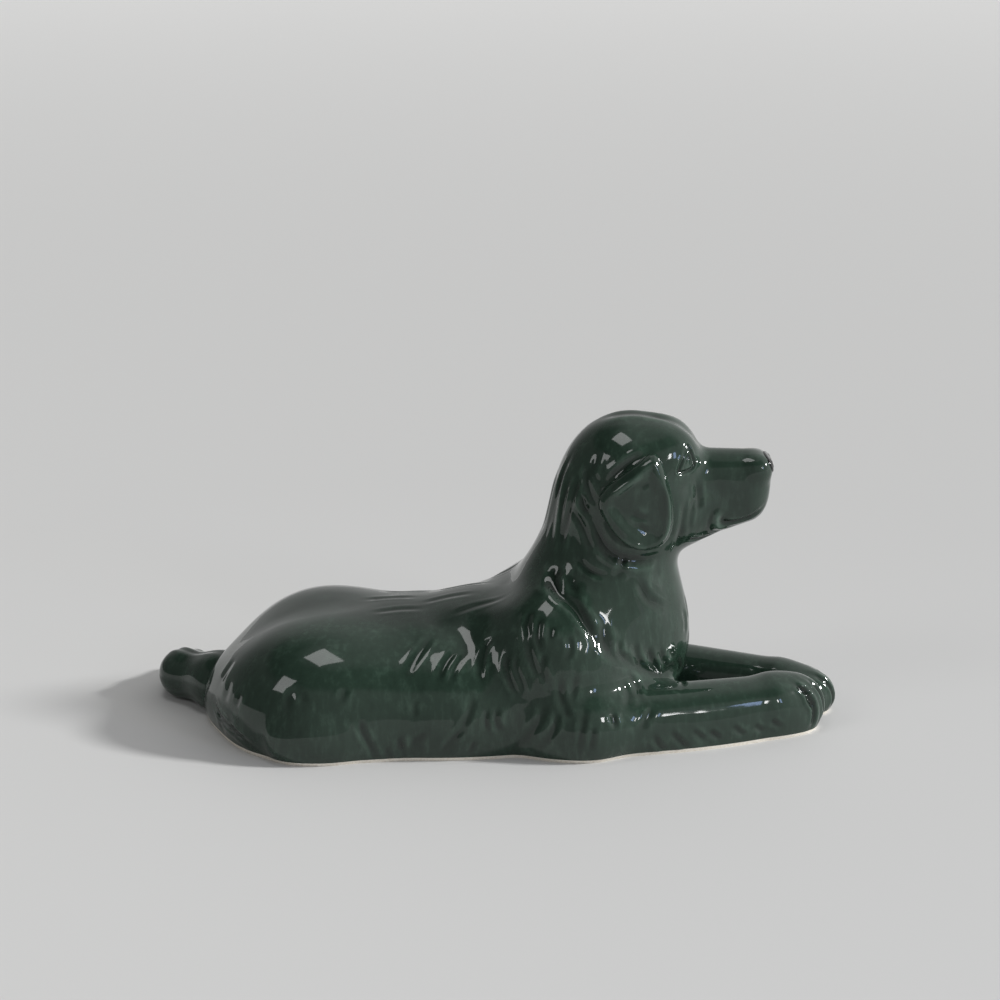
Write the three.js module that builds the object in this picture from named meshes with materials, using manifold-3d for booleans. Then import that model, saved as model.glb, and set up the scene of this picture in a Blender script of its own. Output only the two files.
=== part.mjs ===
// Dog figurine: a retriever lying with its head up, slip cast in earthenware and glazed green.
// Millimetres, +Z up, +X towards the nose, +Y to the dog's left. The origin is on the table,
// under the barrel of the trunk.
// The figure is modelled as one sculpted form, a soft union of rounded masses. Each casting is the
// skin of that form, cut at its luting seams and hollowed. The castings stand on a bare clay slab.

import * as THREE from "three";
import { edgeTable, triTable } from "three/addons/objects/MarchingCubes.js";
import Module from "manifold-3d";

const wasm = await Module();
wasm.setup();

// Ware
const WALL = 4.5; // thickness of a slip-cast wall
const SEAM = 0.3; // slip between two luted castings
const SLAB_EDGE = 1.0; // bare edge of the base slab that shows below the glaze
const SLAB_THICKNESS = 5.0;
const SLAB_INSET = 0.6; // the glazed wall stands this far proud of the slab's edge
const SLAB_FIT = 0.5; // between the slab's raised middle and the hollow it fills
const VENT_RADIUS = 6.0;
const VENT_X = -20;

// Trunk
const BACK_HEIGHT = 57;
const BARREL_HALF_LENGTH = 100;
const BARREL_HALF_WIDTH = 57;
const BARREL_X = -30;
const HAUNCH_X = -80;
const HAUNCH_Y = 23;
const HAUNCH_RADIUS = 43.5;
const HAUNCH_HEIGHT = 53.5;
const SHOULDER_X = 26;
const SHOULDER_Y = 26;
const SHOULDER_HEIGHT = 70;
const ELBOW_X = 32;
const ELBOW_Y = 45;
const CHEST_X = 50;
const CHEST_REACH = 35;
const WITHERS_HEIGHT = 61.5;

// Neck and head
const NECK_BASE = new THREE.Vector3(41, 0, 62);
const NECK_TOP = new THREE.Vector3(58, 0, 112);
const NECK_BASE_RADIUS = 32;
const NECK_TOP_RADIUS = 26;
const NECK_SEAM_ALONG = 6; // from the base of the neck up to its luting seam
const SKULL = new THREE.Vector3(58, 0, 118);
const SKULL_LENGTH = 28;
const SKULL_WIDTH = 25;
const SKULL_RISE = 24;
const MUZZLE_LENGTH = 24;
const MUZZLE_RADIUS = 12;
const MUZZLE_TIP_RADIUS = 11;
const NOSE_RADIUS = 5;
const EYE_RADIUS = 4.2;
const MOUTH_GROOVE = 1.1;
const EAR_LENGTH = 42;
const EAR_WIDTH = 33;
const EAR_THICKNESS = 5.2;

// Legs and tail
const FORELEG_HEIGHT = 26;
const FORELEG_RADIUS = 13;
const PAW_X = 128;
const PAW_Y = 12.5;
const PAW_LENGTH = 18;
const LEFT_REACH = 7; // the left paw lies further forward and flatter
const LEFT_DROP = 5;
const LEG_SEAM_LEAD = 4; // from the front of the chest on to the forelegs' luting seams
const TOE_GROOVE = 1.5;
const TAIL_RADIUS = 12;
const TAIL_TIP_RADIUS = 7.5;

// Cells that the forms are polygonised in
const TORSO_CELL = 7;
const HEAD_CELL = 5;
const LEG_CELL = 5;
const EAR_CELL = 3.3;
const NOSE_CELL = 2.2;
const CORE_CELL = 12;

// A rounded mass: an ellipsoid about a point, turned in degrees, that runs softly into its neighbours.
function mass(at, radii, { pitch = 0, yaw = 0, roll = 0, blend = 10 } = {}) {
  const centre = new THREE.Vector3(...at);
  const angles = [roll, pitch, yaw].map(THREE.MathUtils.degToRad);
  const turn = new THREE.Matrix4().makeRotationFromEuler(new THREE.Euler(...angles, "ZYX"));
  const back = turn.clone().transpose();
  const local = new THREE.Vector3();
  const [a, b, c] = radii;
  const distance = (p) => {
    local.copy(p).sub(centre).applyMatrix4(back);
    const near = Math.hypot(local.x / a, local.y / b, local.z / c);
    const steep = Math.hypot(local.x / a ** 2, local.y / b ** 2, local.z / c ** 2);
    return steep > 0 ? (near * (near - 1)) / steep : -Math.min(a, b, c);
  };
  const e = turn.elements;
  const reach = [0, 1, 2].map((row) => Math.hypot(e[row] * a, e[row + 4] * b, e[row + 8] * c));
  const half = new THREE.Vector3(...reach);
  const box = new THREE.Box3(centre.clone().sub(half), centre.clone().add(half));
  return { distance, blend, box };
}

// A limb: a tapering rod with round ends.
function limb(from, to, fromRadius, toRadius, { blend = 8 } = {}) {
  const start = new THREE.Vector3(...from);
  const end = new THREE.Vector3(...to);
  const along = end.clone().sub(start);
  const length = along.length();
  along.divideScalar(length);
  const slope = (fromRadius - toRadius) / length;
  const rise = Math.sqrt(1 - slope ** 2);
  const offset = new THREE.Vector3();
  const distance = (p) => {
    offset.copy(p).sub(start);
    const run = offset.dot(along);
    const out = Math.sqrt(Math.max(offset.lengthSq() - run ** 2, 0));
    const k = run * rise - out * slope;
    if (k < 0) return Math.hypot(out, run) - fromRadius;
    if (k > length * rise) return Math.hypot(out, run - length) - toRadius;
    return out * rise + run * slope - fromRadius;
  };
  const ballBox = (centre, radius) => new THREE.Box3(centre, centre).clone().expandByScalar(radius);
  return { distance, blend, box: ballBox(start, fromRadius).union(ballBox(end, toRadius)) };
}

function softMin(a, b, blend) {
  const h = Math.max(blend - Math.abs(a - b), 0) / blend;
  return Math.min(a, b) - (h * h * blend) / 4;
}

// The form that several masses make together: its signed distance and the box that holds it.
function form(masses) {
  const box = masses.reduce((whole, m) => whole.union(m.box), new THREE.Box3());
  const distance = (p) => masses.reduce((d, m) => softMin(d, m.distance(p), m.blend), Infinity);
  return { distance, box };
}

// The same form, swollen outwards, or drawn in where the amount is negative.
function swollen(shape, amount) {
  return {
    distance: (p) => shape.distance(p) - amount,
    box: shape.box.clone().expandByScalar(amount),
  };
}

const CORNERS = [
  [0, 0, 0], [1, 0, 0], [1, 1, 0], [0, 1, 0],
  [0, 0, 1], [1, 0, 1], [1, 1, 1], [0, 1, 1],
];
const EDGES = [
  [0, 1], [1, 2], [2, 3], [3, 0], [4, 5], [5, 6],
  [6, 7], [7, 4], [0, 4], [1, 5], [2, 6], [3, 7],
];
const EDGE_MARGIN = 0.12; // keeps a vertex off the grid's corners, so that no sliver is made

// Moves a point along the slope of a form until it lies on its surface.
function settle(point, distance, reach) {
  const step = 0.05;
  const slope = new THREE.Vector3();
  const probe = new THREE.Vector3();
  for (let turn = 0; turn < 3; turn++) {
    const here = distance(point);
    for (const axis of ["x", "y", "z"]) {
      probe.copy(point)[axis] += step;
      slope[axis] = (distance(probe) - here) / step;
    }
    const move = THREE.MathUtils.clamp(here / Math.max(slope.length(), 0.3), -reach, reach);
    point.addScaledVector(slope.normalize(), -move);
  }
}

// The closed skin of a form as a solid, in cells of one size, inside the box of the piece it is for.
function skin(shape, cell, within = shape.box) {
  const { distance } = shape;
  const box = within.clone().intersect(shape.box.clone().expandByScalar(cell)).expandByScalar(cell);
  const low = box.min.toArray();
  const high = box.max.toArray();
  const count = low.map((v, i) => Math.ceil((high[i] - v) / cell) + 1);
  const at = (i, j, k) => new THREE.Vector3(low[0] + i * cell, low[1] + j * cell, low[2] + k * cell);
  const index = (i, j, k) => i + count[0] * (j + count[1] * k);
  const field = new Float64Array(count[0] * count[1] * count[2]);
  const onRim = (...n) => n.some((v, axis) => v === 0 || v === count[axis] - 1);
  for (let k = 0; k < count[2]; k++)
    for (let j = 0; j < count[1]; j++)
      for (let i = 0; i < count[0]; i++) {
        const value = distance(at(i, j, k));
        field[index(i, j, k)] = onRim(i, j, k) ? Math.max(value, cell / 2) : value;
      }

  const vertices = [];
  const triangles = [];
  const made = new Map();
  const vertexOn = (a, b) => {
    const ia = index(...a);
    const ib = index(...b);
    const key = ia < ib ? ia * field.length + ib : ib * field.length + ia;
    if (!made.has(key)) {
      const share = field[ia] / (field[ia] - field[ib]);
      const t = THREE.MathUtils.clamp(share, EDGE_MARGIN, 1 - EDGE_MARGIN);
      const point = at(...a).lerp(at(...b), t);
      settle(point, distance, EDGE_MARGIN * cell);
      made.set(key, vertices.length / 3);
      vertices.push(point.x, point.y, point.z);
    }
    return made.get(key);
  };
  for (let k = 0; k < count[2] - 1; k++)
    for (let j = 0; j < count[1] - 1; j++)
      for (let i = 0; i < count[0] - 1; i++) {
        const corners = CORNERS.map(([x, y, z]) => [i + x, j + y, k + z]);
        const code = corners.reduce((bits, c, n) => bits | (field[index(...c)] < 0 ? 1 << n : 0), 0);
        if (!edgeTable[code]) continue;
        for (let t = code * 16; triTable[t] !== -1; t++) {
          const [a, b] = EDGES[triTable[t]];
          triangles.push(vertexOn(corners[a], corners[b]));
        }
      }
  return solidFrom(vertices, triangles);
}

function solidFrom(vertices, triangles) {
  const build = (triVerts) =>
    new wasm.Manifold(
      new wasm.Mesh({ numProp: 3, vertProperties: new Float32Array(vertices), triVerts }),
    );
  const made = build(new Uint32Array(triangles));
  if (made.volume() > 0) return made;
  for (let t = 0; t < triangles.length; t += 3)
    [triangles[t + 1], triangles[t + 2]] = [triangles[t + 2], triangles[t + 1]];
  return build(new Uint32Array(triangles));
}

// A three.js geometry as a solid, with the vertices that share a place merged.
function solidOf(geometry) {
  const flat = geometry.index ? geometry.toNonIndexed() : geometry;
  const index = new Map();
  const vertices = [];
  const triangles = [];
  const source = flat.getAttribute("position");
  for (let i = 0; i < source.count; i++) {
    const point = [source.getX(i), source.getY(i), source.getZ(i)];
    const key = point.map((v) => v.toFixed(4)).join();
    if (!index.has(key)) {
      index.set(key, vertices.length / 3);
      vertices.push(...point);
    }
    triangles.push(index.get(key));
  }
  const kept = [];
  for (let t = 0; t < triangles.length; t += 3) {
    const [a, b, c] = triangles.slice(t, t + 3);
    if (a !== b && b !== c && c !== a) kept.push(a, b, c);
  }
  return solidFrom(vertices, kept);
}

function geometryOf(solid) {
  const mesh = solid.getMesh();
  const position = new Float32Array(mesh.numVert * 3);
  for (let i = 0; i < mesh.numVert; i++)
    position.set(mesh.vertProperties.subarray(i * mesh.numProp, i * mesh.numProp + 3), i * 3);
  return new THREE.BufferGeometry()
    .setAttribute("position", new THREE.BufferAttribute(position, 3))
    .setIndex(new THREE.BufferAttribute(mesh.triVerts, 1));
}

// Everything on the side of a plane that its normal points to, further on by the shift.
function beyond(point, normal, shift = 0) {
  const size = 600;
  const side = new THREE.Vector3(...normal).normalize();
  const centre = new THREE.Vector3(...point).addScaledVector(side, shift + size / 2);
  const geometry = new THREE.BoxGeometry(size, size, size)
    .applyQuaternion(new THREE.Quaternion().setFromUnitVectors(new THREE.Vector3(0, 0, 1), side))
    .translate(...centre.toArray());
  return solidOf(geometry);
}

// The trunk: the barrel, the rump, both haunches, the shoulders with their elbows, and the chest.
// The dog lies over on its right hip, so the left haunch rides higher.
function torsoMasses() {
  const barrelRise = 43;
  const haunchSpan = HAUNCH_RADIUS - 6;
  const masses = [
    mass(
      [BARREL_X, 0, BACK_HEIGHT - barrelRise],
      [BARREL_HALF_LENGTH, BARREL_HALF_WIDTH, barrelRise],
      { blend: 1 },
    ),
    mass([HAUNCH_X - 11, 4, 8], [HAUNCH_RADIUS - 2, 34, 27], { blend: 12 }),
    mass([HAUNCH_X + 2, -HAUNCH_Y, 14], [HAUNCH_RADIUS, haunchSpan, HAUNCH_HEIGHT - 16], { blend: 14 }),
    mass([HAUNCH_X + 1.5, HAUNCH_Y - 1, 18], [HAUNCH_RADIUS - 5, haunchSpan, HAUNCH_HEIGHT - 18], { blend: 14 }),
    mass([HAUNCH_X - 3, -HAUNCH_Y - 32, 9], [17, 7, 10], { blend: 8 }),
    mass([SHOULDER_X - 21, 0, WITHERS_HEIGHT - 14], [30, 28, 14], { blend: 14 }),
    mass([CHEST_X, 0, 42], [CHEST_REACH, 33, 44], { blend: 14 }),
  ];
  for (const side of [-1, 1]) {
    const shoulder = [SHOULDER_X, side * SHOULDER_Y, SHOULDER_HEIGHT - 37];
    masses.push(mass(shoulder, [31, 27, 37], { pitch: -12, blend: 14 }));
    masses.push(mass([ELBOW_X, side * ELBOW_Y, 10], [22, 14, 17], { blend: 10 }));
  }
  return masses;
}

// The left hind leg, folded forward along the flank
function hindLegMasses() {
  return [
    mass([HAUNCH_X + 28, HAUNCH_Y + 22, 16], [32, 17, 27], { pitch: 20, yaw: 6, blend: 5 }),
    limb([HAUNCH_X + 6, HAUNCH_Y + 34, 8], [HAUNCH_X + 48, HAUNCH_Y + 35, 7.5], 10, 8.5, { blend: 4 }),
    mass([HAUNCH_X + 60, HAUNCH_Y + 34, 7], [15, 8.5, 9], { blend: 5 }),
  ];
}

function neckMass() {
  return limb(NECK_BASE.toArray(), NECK_TOP.toArray(), NECK_BASE_RADIUS, NECK_TOP_RADIUS, { blend: 14 });
}

// The skull, the cheeks, and the mane that swells the nape
function skullMasses() {
  return [
    mass(SKULL.toArray(), [SKULL_LENGTH, SKULL_WIDTH, SKULL_RISE], { blend: 10 }),
    mass([SKULL.x + 12, 0, SKULL.z - 18], [22, 21, 17], { blend: 12 }),
    mass([SKULL.x - 18, 0, SKULL.z - 14], [16, 22, 23], { pitch: 12, blend: 8 }),
  ];
}

// The muzzle over the lower jaw, and the brows
function faceMasses() {
  const from = SKULL.x + SKULL_LENGTH - 1.5;
  const to = from + MUZZLE_LENGTH;
  const masses = [
    limb([from, 0, SKULL.z - 3.2], [to, 0, SKULL.z - 2.8], MUZZLE_RADIUS, MUZZLE_TIP_RADIUS),
    limb([from, 0, SKULL.z - 20], [to - 1, 0, SKULL.z - 14], MUZZLE_RADIUS + 1, MUZZLE_TIP_RADIUS),
  ];
  for (const side of [-1, 1]) {
    masses.push(mass([SKULL.x + 15, side * 10, SKULL.z + 6], [13, 9, 10.5], { blend: 8 }));
  }
  return masses;
}

const sideOf = (side) => ({ reach: side > 0 ? LEFT_REACH : 0, drop: side > 0 ? LEFT_DROP : 0 });

// Where a foreleg runs: its ends, its heading, and the way out sideways from it
function forelegLine(side) {
  const { reach, drop } = sideOf(side);
  const elbow = new THREE.Vector3(ELBOW_X + 8, side * (ELBOW_Y - 3), 12);
  const wristHeight = FORELEG_HEIGHT - FORELEG_RADIUS - drop / 2;
  const wrist = new THREE.Vector3(PAW_X + reach - 10, side * (PAW_Y + 5), wristHeight);
  const heading = wrist.clone().sub(elbow).setZ(0).normalize();
  const outward = new THREE.Vector3(-heading.y * side, heading.x * side, 0);
  return { elbow, wrist, heading, outward };
}

// One foreleg, from the elbow to the paw, with the feathering that hangs to the table
function forelegMasses(side) {
  const { reach, drop } = sideOf(side);
  const { elbow, wrist, heading, outward } = forelegLine(side);
  const yaw = THREE.MathUtils.radToDeg(Math.atan2(heading.y, heading.x));
  const fringe = elbow.clone().lerp(wrist, 0.62).addScaledVector(outward, 1).setZ(3);
  const rise = 16 - drop / 2;
  return [
    limb(elbow.toArray(), wrist.toArray(), FORELEG_RADIUS + 3, FORELEG_RADIUS - drop / 4),
    mass(fringe.toArray(), [50, FORELEG_RADIUS, 15], { yaw, blend: 6 }),
    mass(
      [PAW_X + reach, side * PAW_Y, FORELEG_HEIGHT - drop - rise],
      [PAW_LENGTH, FORELEG_RADIUS, rise],
      { yaw, blend: 8 },
    ),
  ];
}

// The tail leaves the rump, rests on the table and curls round towards the dog's left
function tailMasses() {
  return [
    limb([-110, 8, 14], [-130, 15, 12.5], TAIL_RADIUS + 1, TAIL_RADIUS - 1, { blend: 2 }),
    limb([-130, 15, 12.5], [-143, 26, 10], TAIL_RADIUS - 1, TAIL_RADIUS - 2.5, { blend: 2 }),
    limb([-143, 26, 10], [-149, 42, 9], TAIL_RADIUS - 2.5, TAIL_TIP_RADIUS + 1.5, { blend: 2 }),
    limb([-149, 42, 9], [-144, 60, 8], TAIL_TIP_RADIUS + 1.5, TAIL_TIP_RADIUS, { blend: 2 }),
  ];
}

const trunk = form(torsoMasses());
const bodyMasses = [...torsoMasses(), ...hindLegMasses()];
const figure = form([
  ...bodyMasses,
  neckMass(),
  ...skullMasses(),
  ...faceMasses(),
  ...forelegMasses(-1),
  ...forelegMasses(1),
]);
const tailShape = form(tailMasses());
const hollow = swollen(form([...torsoMasses(), neckMass(), ...skullMasses()]), -WALL);

// Luting seams. The shift moves each cut, to leave the slip's thickness between two castings.
const neckLine = NECK_TOP.clone().sub(NECK_BASE).normalize();
const neckSeamAt = NECK_BASE.clone().addScaledVector(neckLine, NECK_SEAM_ALONG);
const aboveNeckSeam = (shift) => beyond(neckSeamAt, neckLine, shift);

// The part of the figure that belongs to one foreleg: ahead of the chest, below the head, and on
// its own side of the line between the paws
function forelegZone(side, shift) {
  const seamAt = new THREE.Vector3(CHEST_X + CHEST_REACH + LEG_SEAM_LEAD, 0, 0);
  const belowHead = new THREE.Vector3(0, 0, FORELEG_HEIGHT + FORELEG_RADIUS);
  return beyond(seamAt, [1, 0, 0], shift)
    .intersect(beyond(belowHead, [0, 0, -1], shift))
    .intersect(beyond([0, 0, 0], [0, side, 0], Math.max(shift, 0)));
}

// Where a line along Y, at a place in side view, meets the skin of a form on one side of the dog.
function flankY(shape, x, z, side) {
  const probe = new THREE.Vector3(x, side * (shape.box.max.y + 1), z);
  for (let turn = 0; turn < 40; turn++) probe.y -= side * Math.max(shape.distance(probe), 0) * 0.9;
  return probe.y;
}

function softMax(a, b, blend) {
  return -softMin(-a, -b, blend);
}

// One ear: a leaf of clay that follows the side of the head, thicker along its rolled free edge.
// Its outline is in side view, in shares of its width and length, from the fold at its root.
const EAR_OUTLINE = [
  [0.74, 1.0], [0.9, 0.78], [1.0, 0.48], [0.99, 0.2], [0.84, 0.02],
  [0.5, 0.01], [0.2, 0.21], [0.01, 0.44], [0.08, 0.64], [0.42, 0.86],
];
const EAR_CORNER = new THREE.Vector2(SKULL.x - SKULL_LENGTH + 12.5, SKULL.z + 12.5 - EAR_LENGTH);
const EAR_RIM = 3.5; // from the edge of the leaf in to the crown of its rolled rim

const earOutline = new THREE.SplineCurve(
  [...EAR_OUTLINE, EAR_OUTLINE[0]].map(
    ([u, v]) => new THREE.Vector2(EAR_CORNER.x + u * EAR_WIDTH, EAR_CORNER.y + v * EAR_LENGTH),
  ),
).getPoints(60);

// The signed distance to the ear's outline in side view, less than nothing inside it
function earEdge(x, z) {
  let nearest = Infinity;
  let inside = false;
  for (let i = 1; i < earOutline.length; i++) {
    const [a, b] = [earOutline[i - 1], earOutline[i]];
    const t = ((x - a.x) * (b.x - a.x) + (z - a.y) * (b.y - a.y)) / Math.max(a.distanceToSquared(b), 1e-9);
    const share = THREE.MathUtils.clamp(t, 0, 1);
    const gap = Math.hypot(x - a.x - share * (b.x - a.x), z - a.y - share * (b.y - a.y));
    nearest = Math.min(nearest, gap);
    if (a.y > z !== b.y > z && x < ((b.x - a.x) * (z - a.y)) / (b.y - a.y) + a.x) inside = !inside;
  }
  return inside ? -nearest : nearest;
}

function earForm(head, side) {
  const low = new THREE.Vector3(EAR_CORNER.x, 0, EAR_CORNER.y);
  const high = new THREE.Vector3(EAR_CORNER.x + EAR_WIDTH, side * head.box.max.y, EAR_CORNER.y + EAR_LENGTH);
  const box = new THREE.Box3().setFromPoints([low, high]).expandByScalar(EAR_THICKNESS);
  const distance = (p) => {
    const edge = earEdge(p.x, p.z);
    const rim = Math.exp(-(((edge + EAR_RIM) / EAR_RIM) ** 2));
    const out = head.distance(p) - EAR_THICKNESS * (0.62 + 0.38 * rim);
    const leaf = softMax(out, edge, EAR_THICKNESS / 2);
    return Math.max(leaf, -head.distance(p) - EAR_THICKNESS / 2, 8 - side * p.y);
  };
  return { distance, box };
}

// A round tool swept along a line of points that first settle on a form, to cut a groove in it
function grooveTool(points, shape, radius) {
  const line = new THREE.CatmullRomCurve3(points.map(([x, y, z]) => new THREE.Vector3(x, y, z)));
  const onForm = line.getSpacedPoints(2 * points.length);
  onForm.forEach((p) => settle(p, shape.distance, 4));
  const round = new THREE.Shape().absarc(0, 0, radius, 0, 2 * Math.PI);
  const path = new THREE.CatmullRomCurve3(onForm);
  const settings = { steps: onForm.length, curveSegments: 3, bevelEnabled: false, extrudePath: path };
  return solidOf(new THREE.ExtrudeGeometry(round, settings));
}

const standing = form([...bodyMasses, ...forelegMasses(-1), ...forelegMasses(1)]);
const hollowCore = skin(hollow, CORE_CELL);
const aboveTable = beyond([0, 0, 0], [0, 0, 1]);
const aboveSlab = beyond([0, 0, SLAB_EDGE + SEAM], [0, 0, 1]);
const halfSeam = SEAM / 2;

function torsoCasting() {
  return skin(figure, TORSO_CELL, standing.box)
    .subtract(aboveNeckSeam(-halfSeam))
    .subtract(forelegZone(-1, -halfSeam))
    .subtract(forelegZone(1, -halfSeam))
    .subtract(hollowCore)
    .intersect(aboveSlab);
}

// Three grooves part the toes, over the top and down the front of the paw
function toeGrooves(side) {
  const { reach, drop } = sideOf(side);
  const { heading, outward } = forelegLine(side);
  const paw = new THREE.Vector3(PAW_X + reach, side * PAW_Y, 0);
  const height = FORELEG_HEIGHT - drop;
  return [-0.5, 0.05, 0.58].map((share) => {
    const across = outward.clone().multiplyScalar(share * FORELEG_RADIUS);
    const along = (run, z) => paw.clone().addScaledVector(heading, run).add(across).setZ(z).toArray();
    const line = [
      along(PAW_LENGTH * 0.15, height),
      along(PAW_LENGTH * 0.6, height * 0.85),
      along(PAW_LENGTH * 0.95, height * 0.5),
      along(PAW_LENGTH * 0.98, height * 0.2),
    ];
    return grooveTool(line, figure, TOE_GROOVE);
  });
}

function forelegCasting(side) {
  const solid = skin(figure, LEG_CELL, form(forelegMasses(side)).box)
    .intersect(forelegZone(side, halfSeam))
    .subtract(hollowCore)
    .intersect(aboveSlab);
  return toeGrooves(side).reduce((leg, groove) => leg.subtract(groove), solid);
}

function tailCasting() {
  return skin(tailShape, LEG_CELL)
    .subtract(skin(swollen(figure, SEAM), TORSO_CELL, standing.box))
    .intersect(aboveTable);
}

const head = form([neckMass(), ...skullMasses(), ...faceMasses()]);
// What is luted to the head is cut to this, so that it seats on the head all over
const headSeat = skin(swollen(figure, SEAM), HEAD_CELL, head.box);
const muzzleTip = SKULL.x + SKULL_LENGTH + MUZZLE_LENGTH + MUZZLE_TIP_RADIUS - 1.5;

// A carved eye: a socket with the ball of the eye standing in it
function eyeAt(side) {
  const x = SKULL.x + SKULL_LENGTH - 4;
  const z = SKULL.z + 5;
  return new THREE.Vector3(x, flankY(head, x, z, side), z);
}

function ball(at, radii) {
  return solidOf(new THREE.SphereGeometry(1, 12, 8).scale(...radii).translate(...at.toArray()));
}

// The line of the lips, from one corner of the mouth round the front to the other
function mouthLine() {
  const z = SKULL.z - 18.5;
  const right = [[muzzleTip - 28, -14, z - 3], [muzzleTip - 17, -13, z - 4], [muzzleTip - 7, -10, z]];
  const left = right.map(([x, y, height]) => [x, -y, height]).reverse();
  return [...right, [muzzleTip - 1, 0, z + 3], ...left];
}

function headCasting() {
  let solid = skin(figure, HEAD_CELL, head.box).intersect(aboveNeckSeam(halfSeam)).subtract(hollowCore);
  for (const side of [-1, 1]) {
    const eye = eyeAt(side);
    const socket = eye.clone().setY(eye.y + side * EYE_RADIUS * 0.75);
    solid = solid.subtract(ball(socket, [EYE_RADIUS * 1.25, EYE_RADIUS, EYE_RADIUS]));
    const pupil = eye.clone().setY(eye.y - side * EYE_RADIUS * 0.55);
    solid = solid.add(ball(pupil, [EYE_RADIUS * 0.85, EYE_RADIUS * 0.7, EYE_RADIUS * 0.75]));
  }
  return solid.subtract(grooveTool(mouthLine(), head, MOUTH_GROOVE));
}

function ear(side) {
  const shape = earForm(head, side);
  return skin(shape, EAR_CELL).subtract(headSeat);
}

// The nose: a cap of black glaze over the end of the muzzle
function nose() {
  const at = [muzzleTip - NOSE_RADIUS + 1.5, 0, SKULL.z + 3];
  const cap = form([mass(at, [NOSE_RADIUS - 0.5, NOSE_RADIUS + 1.5, NOSE_RADIUS])]);
  return skin(cap, NOSE_CELL).subtract(headSeat);
}

function baseSlab() {
  const outline = swollen(standing, -SLAB_INSET);
  const edge = skin(outline, TORSO_CELL, standing.box).subtract(beyond([0, 0, SLAB_EDGE], [0, 0, 1]));
  const raised = skin(swollen(hollow, -SLAB_FIT), CORE_CELL, hollow.box)
    .subtract(beyond([0, 0, SLAB_THICKNESS], [0, 0, 1]));
  const vent = solidOf(new THREE.CylinderGeometry(VENT_RADIUS, VENT_RADIUS, 4 * SLAB_THICKNESS, 32)
    .rotateX(Math.PI / 2).translate(VENT_X, 0, 0));
  return edge.add(raised).subtract(vent).intersect(aboveTable);
}

const GREEN_GLAZE = { color: 0x33473b, roughness: 0.08 };
const BLACK_GLAZE = { color: 0x0b0c0c, roughness: 0.12 };
const BARE_CLAY = { color: 0xe6ded0, roughness: 0.85 };

const group = new THREE.Group();

function add(name, solid, finish) {
  const mesh = new THREE.Mesh(geometryOf(solid), new THREE.MeshStandardMaterial(finish));
  mesh.name = name;
  group.add(mesh);
}

add("torso_casting", torsoCasting(), GREEN_GLAZE);
add("head_casting", headCasting(), GREEN_GLAZE);
add("right_foreleg_casting", forelegCasting(-1), GREEN_GLAZE);
add("left_foreleg_casting", forelegCasting(1), GREEN_GLAZE);
add("tail_casting", tailCasting(), GREEN_GLAZE);
add("right_ear", ear(-1), GREEN_GLAZE);
add("left_ear", ear(1), GREEN_GLAZE);
add("nose", nose(), BLACK_GLAZE);
add("base_slab", baseSlab(), BARE_CLAY);

export default group;
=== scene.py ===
"""A slip-cast dog figurine: a retriever lying with its head up, under a dark green glaze.

The figure is sculpted as one form, a soft union of rounded masses with carved strokes laid on
it. Each casting takes its skin from that form. Sculpting is done in millimetres, and a finished
piece is written in metres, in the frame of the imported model.
"""

import logging
import math
from dataclasses import dataclass, replace
from enum import Enum
from functools import cached_property
from typing import Callable, Sequence

import bmesh
import bpy
import numpy as np
from mathutils import Matrix, Vector

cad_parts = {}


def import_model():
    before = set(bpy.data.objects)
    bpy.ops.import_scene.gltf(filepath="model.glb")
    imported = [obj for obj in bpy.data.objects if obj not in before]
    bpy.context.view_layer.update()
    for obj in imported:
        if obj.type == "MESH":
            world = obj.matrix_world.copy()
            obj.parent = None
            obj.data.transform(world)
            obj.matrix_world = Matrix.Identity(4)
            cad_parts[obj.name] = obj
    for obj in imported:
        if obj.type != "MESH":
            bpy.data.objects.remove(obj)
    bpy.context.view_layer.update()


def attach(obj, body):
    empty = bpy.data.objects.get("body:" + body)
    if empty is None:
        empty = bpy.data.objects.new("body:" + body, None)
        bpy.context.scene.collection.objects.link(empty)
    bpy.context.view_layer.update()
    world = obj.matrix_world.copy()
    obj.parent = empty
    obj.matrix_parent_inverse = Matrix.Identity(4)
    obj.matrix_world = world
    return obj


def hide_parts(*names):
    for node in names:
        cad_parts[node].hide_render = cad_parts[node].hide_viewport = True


LOG = logging.getLogger("figurine")
MM = 0.001
SIDES = (-1.0, 1.0)  # the dog's right, which the photograph shows, and its left
SEAM_X = 89.0  # the forelegs are luted to the trunk here, just ahead of the chest
FOOT_EDGE = 1.6  # height of the bare clay that shows below the glaze
MARGIN = 4.0  # how far outside a form its distance is still told
TOUCH = 0.12  # how far a form is felt to find the way out of it
BEYOND = 170.0  # a stroke comes in from this far out, which is outside the figure
DEEPEST = 2.4  # no carved groove goes deeper than this
RELIEF_SPAN = 3.0  # relief that takes the glaze from its darkest tone to its palest
TAPER = 0.3  # share of a stroke over which the loop goes in, and comes out again
SCRATCH = 0.08  # share of the depth that is left at a stroke's very ends
LIP = 0.32  # height of the lip that a loop throws up, as a share of the groove's depth
LIP_PLACE = 1.9  # how far out the lip lies, in widths of the stroke
LIP_SPREAD = 0.8  # how broad the lip is, in the same widths

Coordinates = tuple[float, ...]
Colour = tuple[float, float, float, float]
Field = Callable[[np.ndarray], np.ndarray]


# Sculpting


def soft_min(a: np.ndarray, b: np.ndarray, blend: float) -> np.ndarray:
    """Joins two signed distances with a rounded fillet.

    Args:
        a: the first distance at each point.
        b: the second distance at each point.
        blend: how far the fillet reaches, in millimetres.

    Returns:
        The distance to the two forms as one.
    """
    share = np.maximum(blend - np.abs(a - b), 0.0) / blend
    return np.minimum(a, b) - share * share * blend / 4.0


def soft_max(a: np.ndarray, b: np.ndarray, blend: float) -> np.ndarray:
    """Keeps what lies inside both forms, with a rounded edge between them."""
    return -soft_min(-a, -b, blend)


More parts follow.
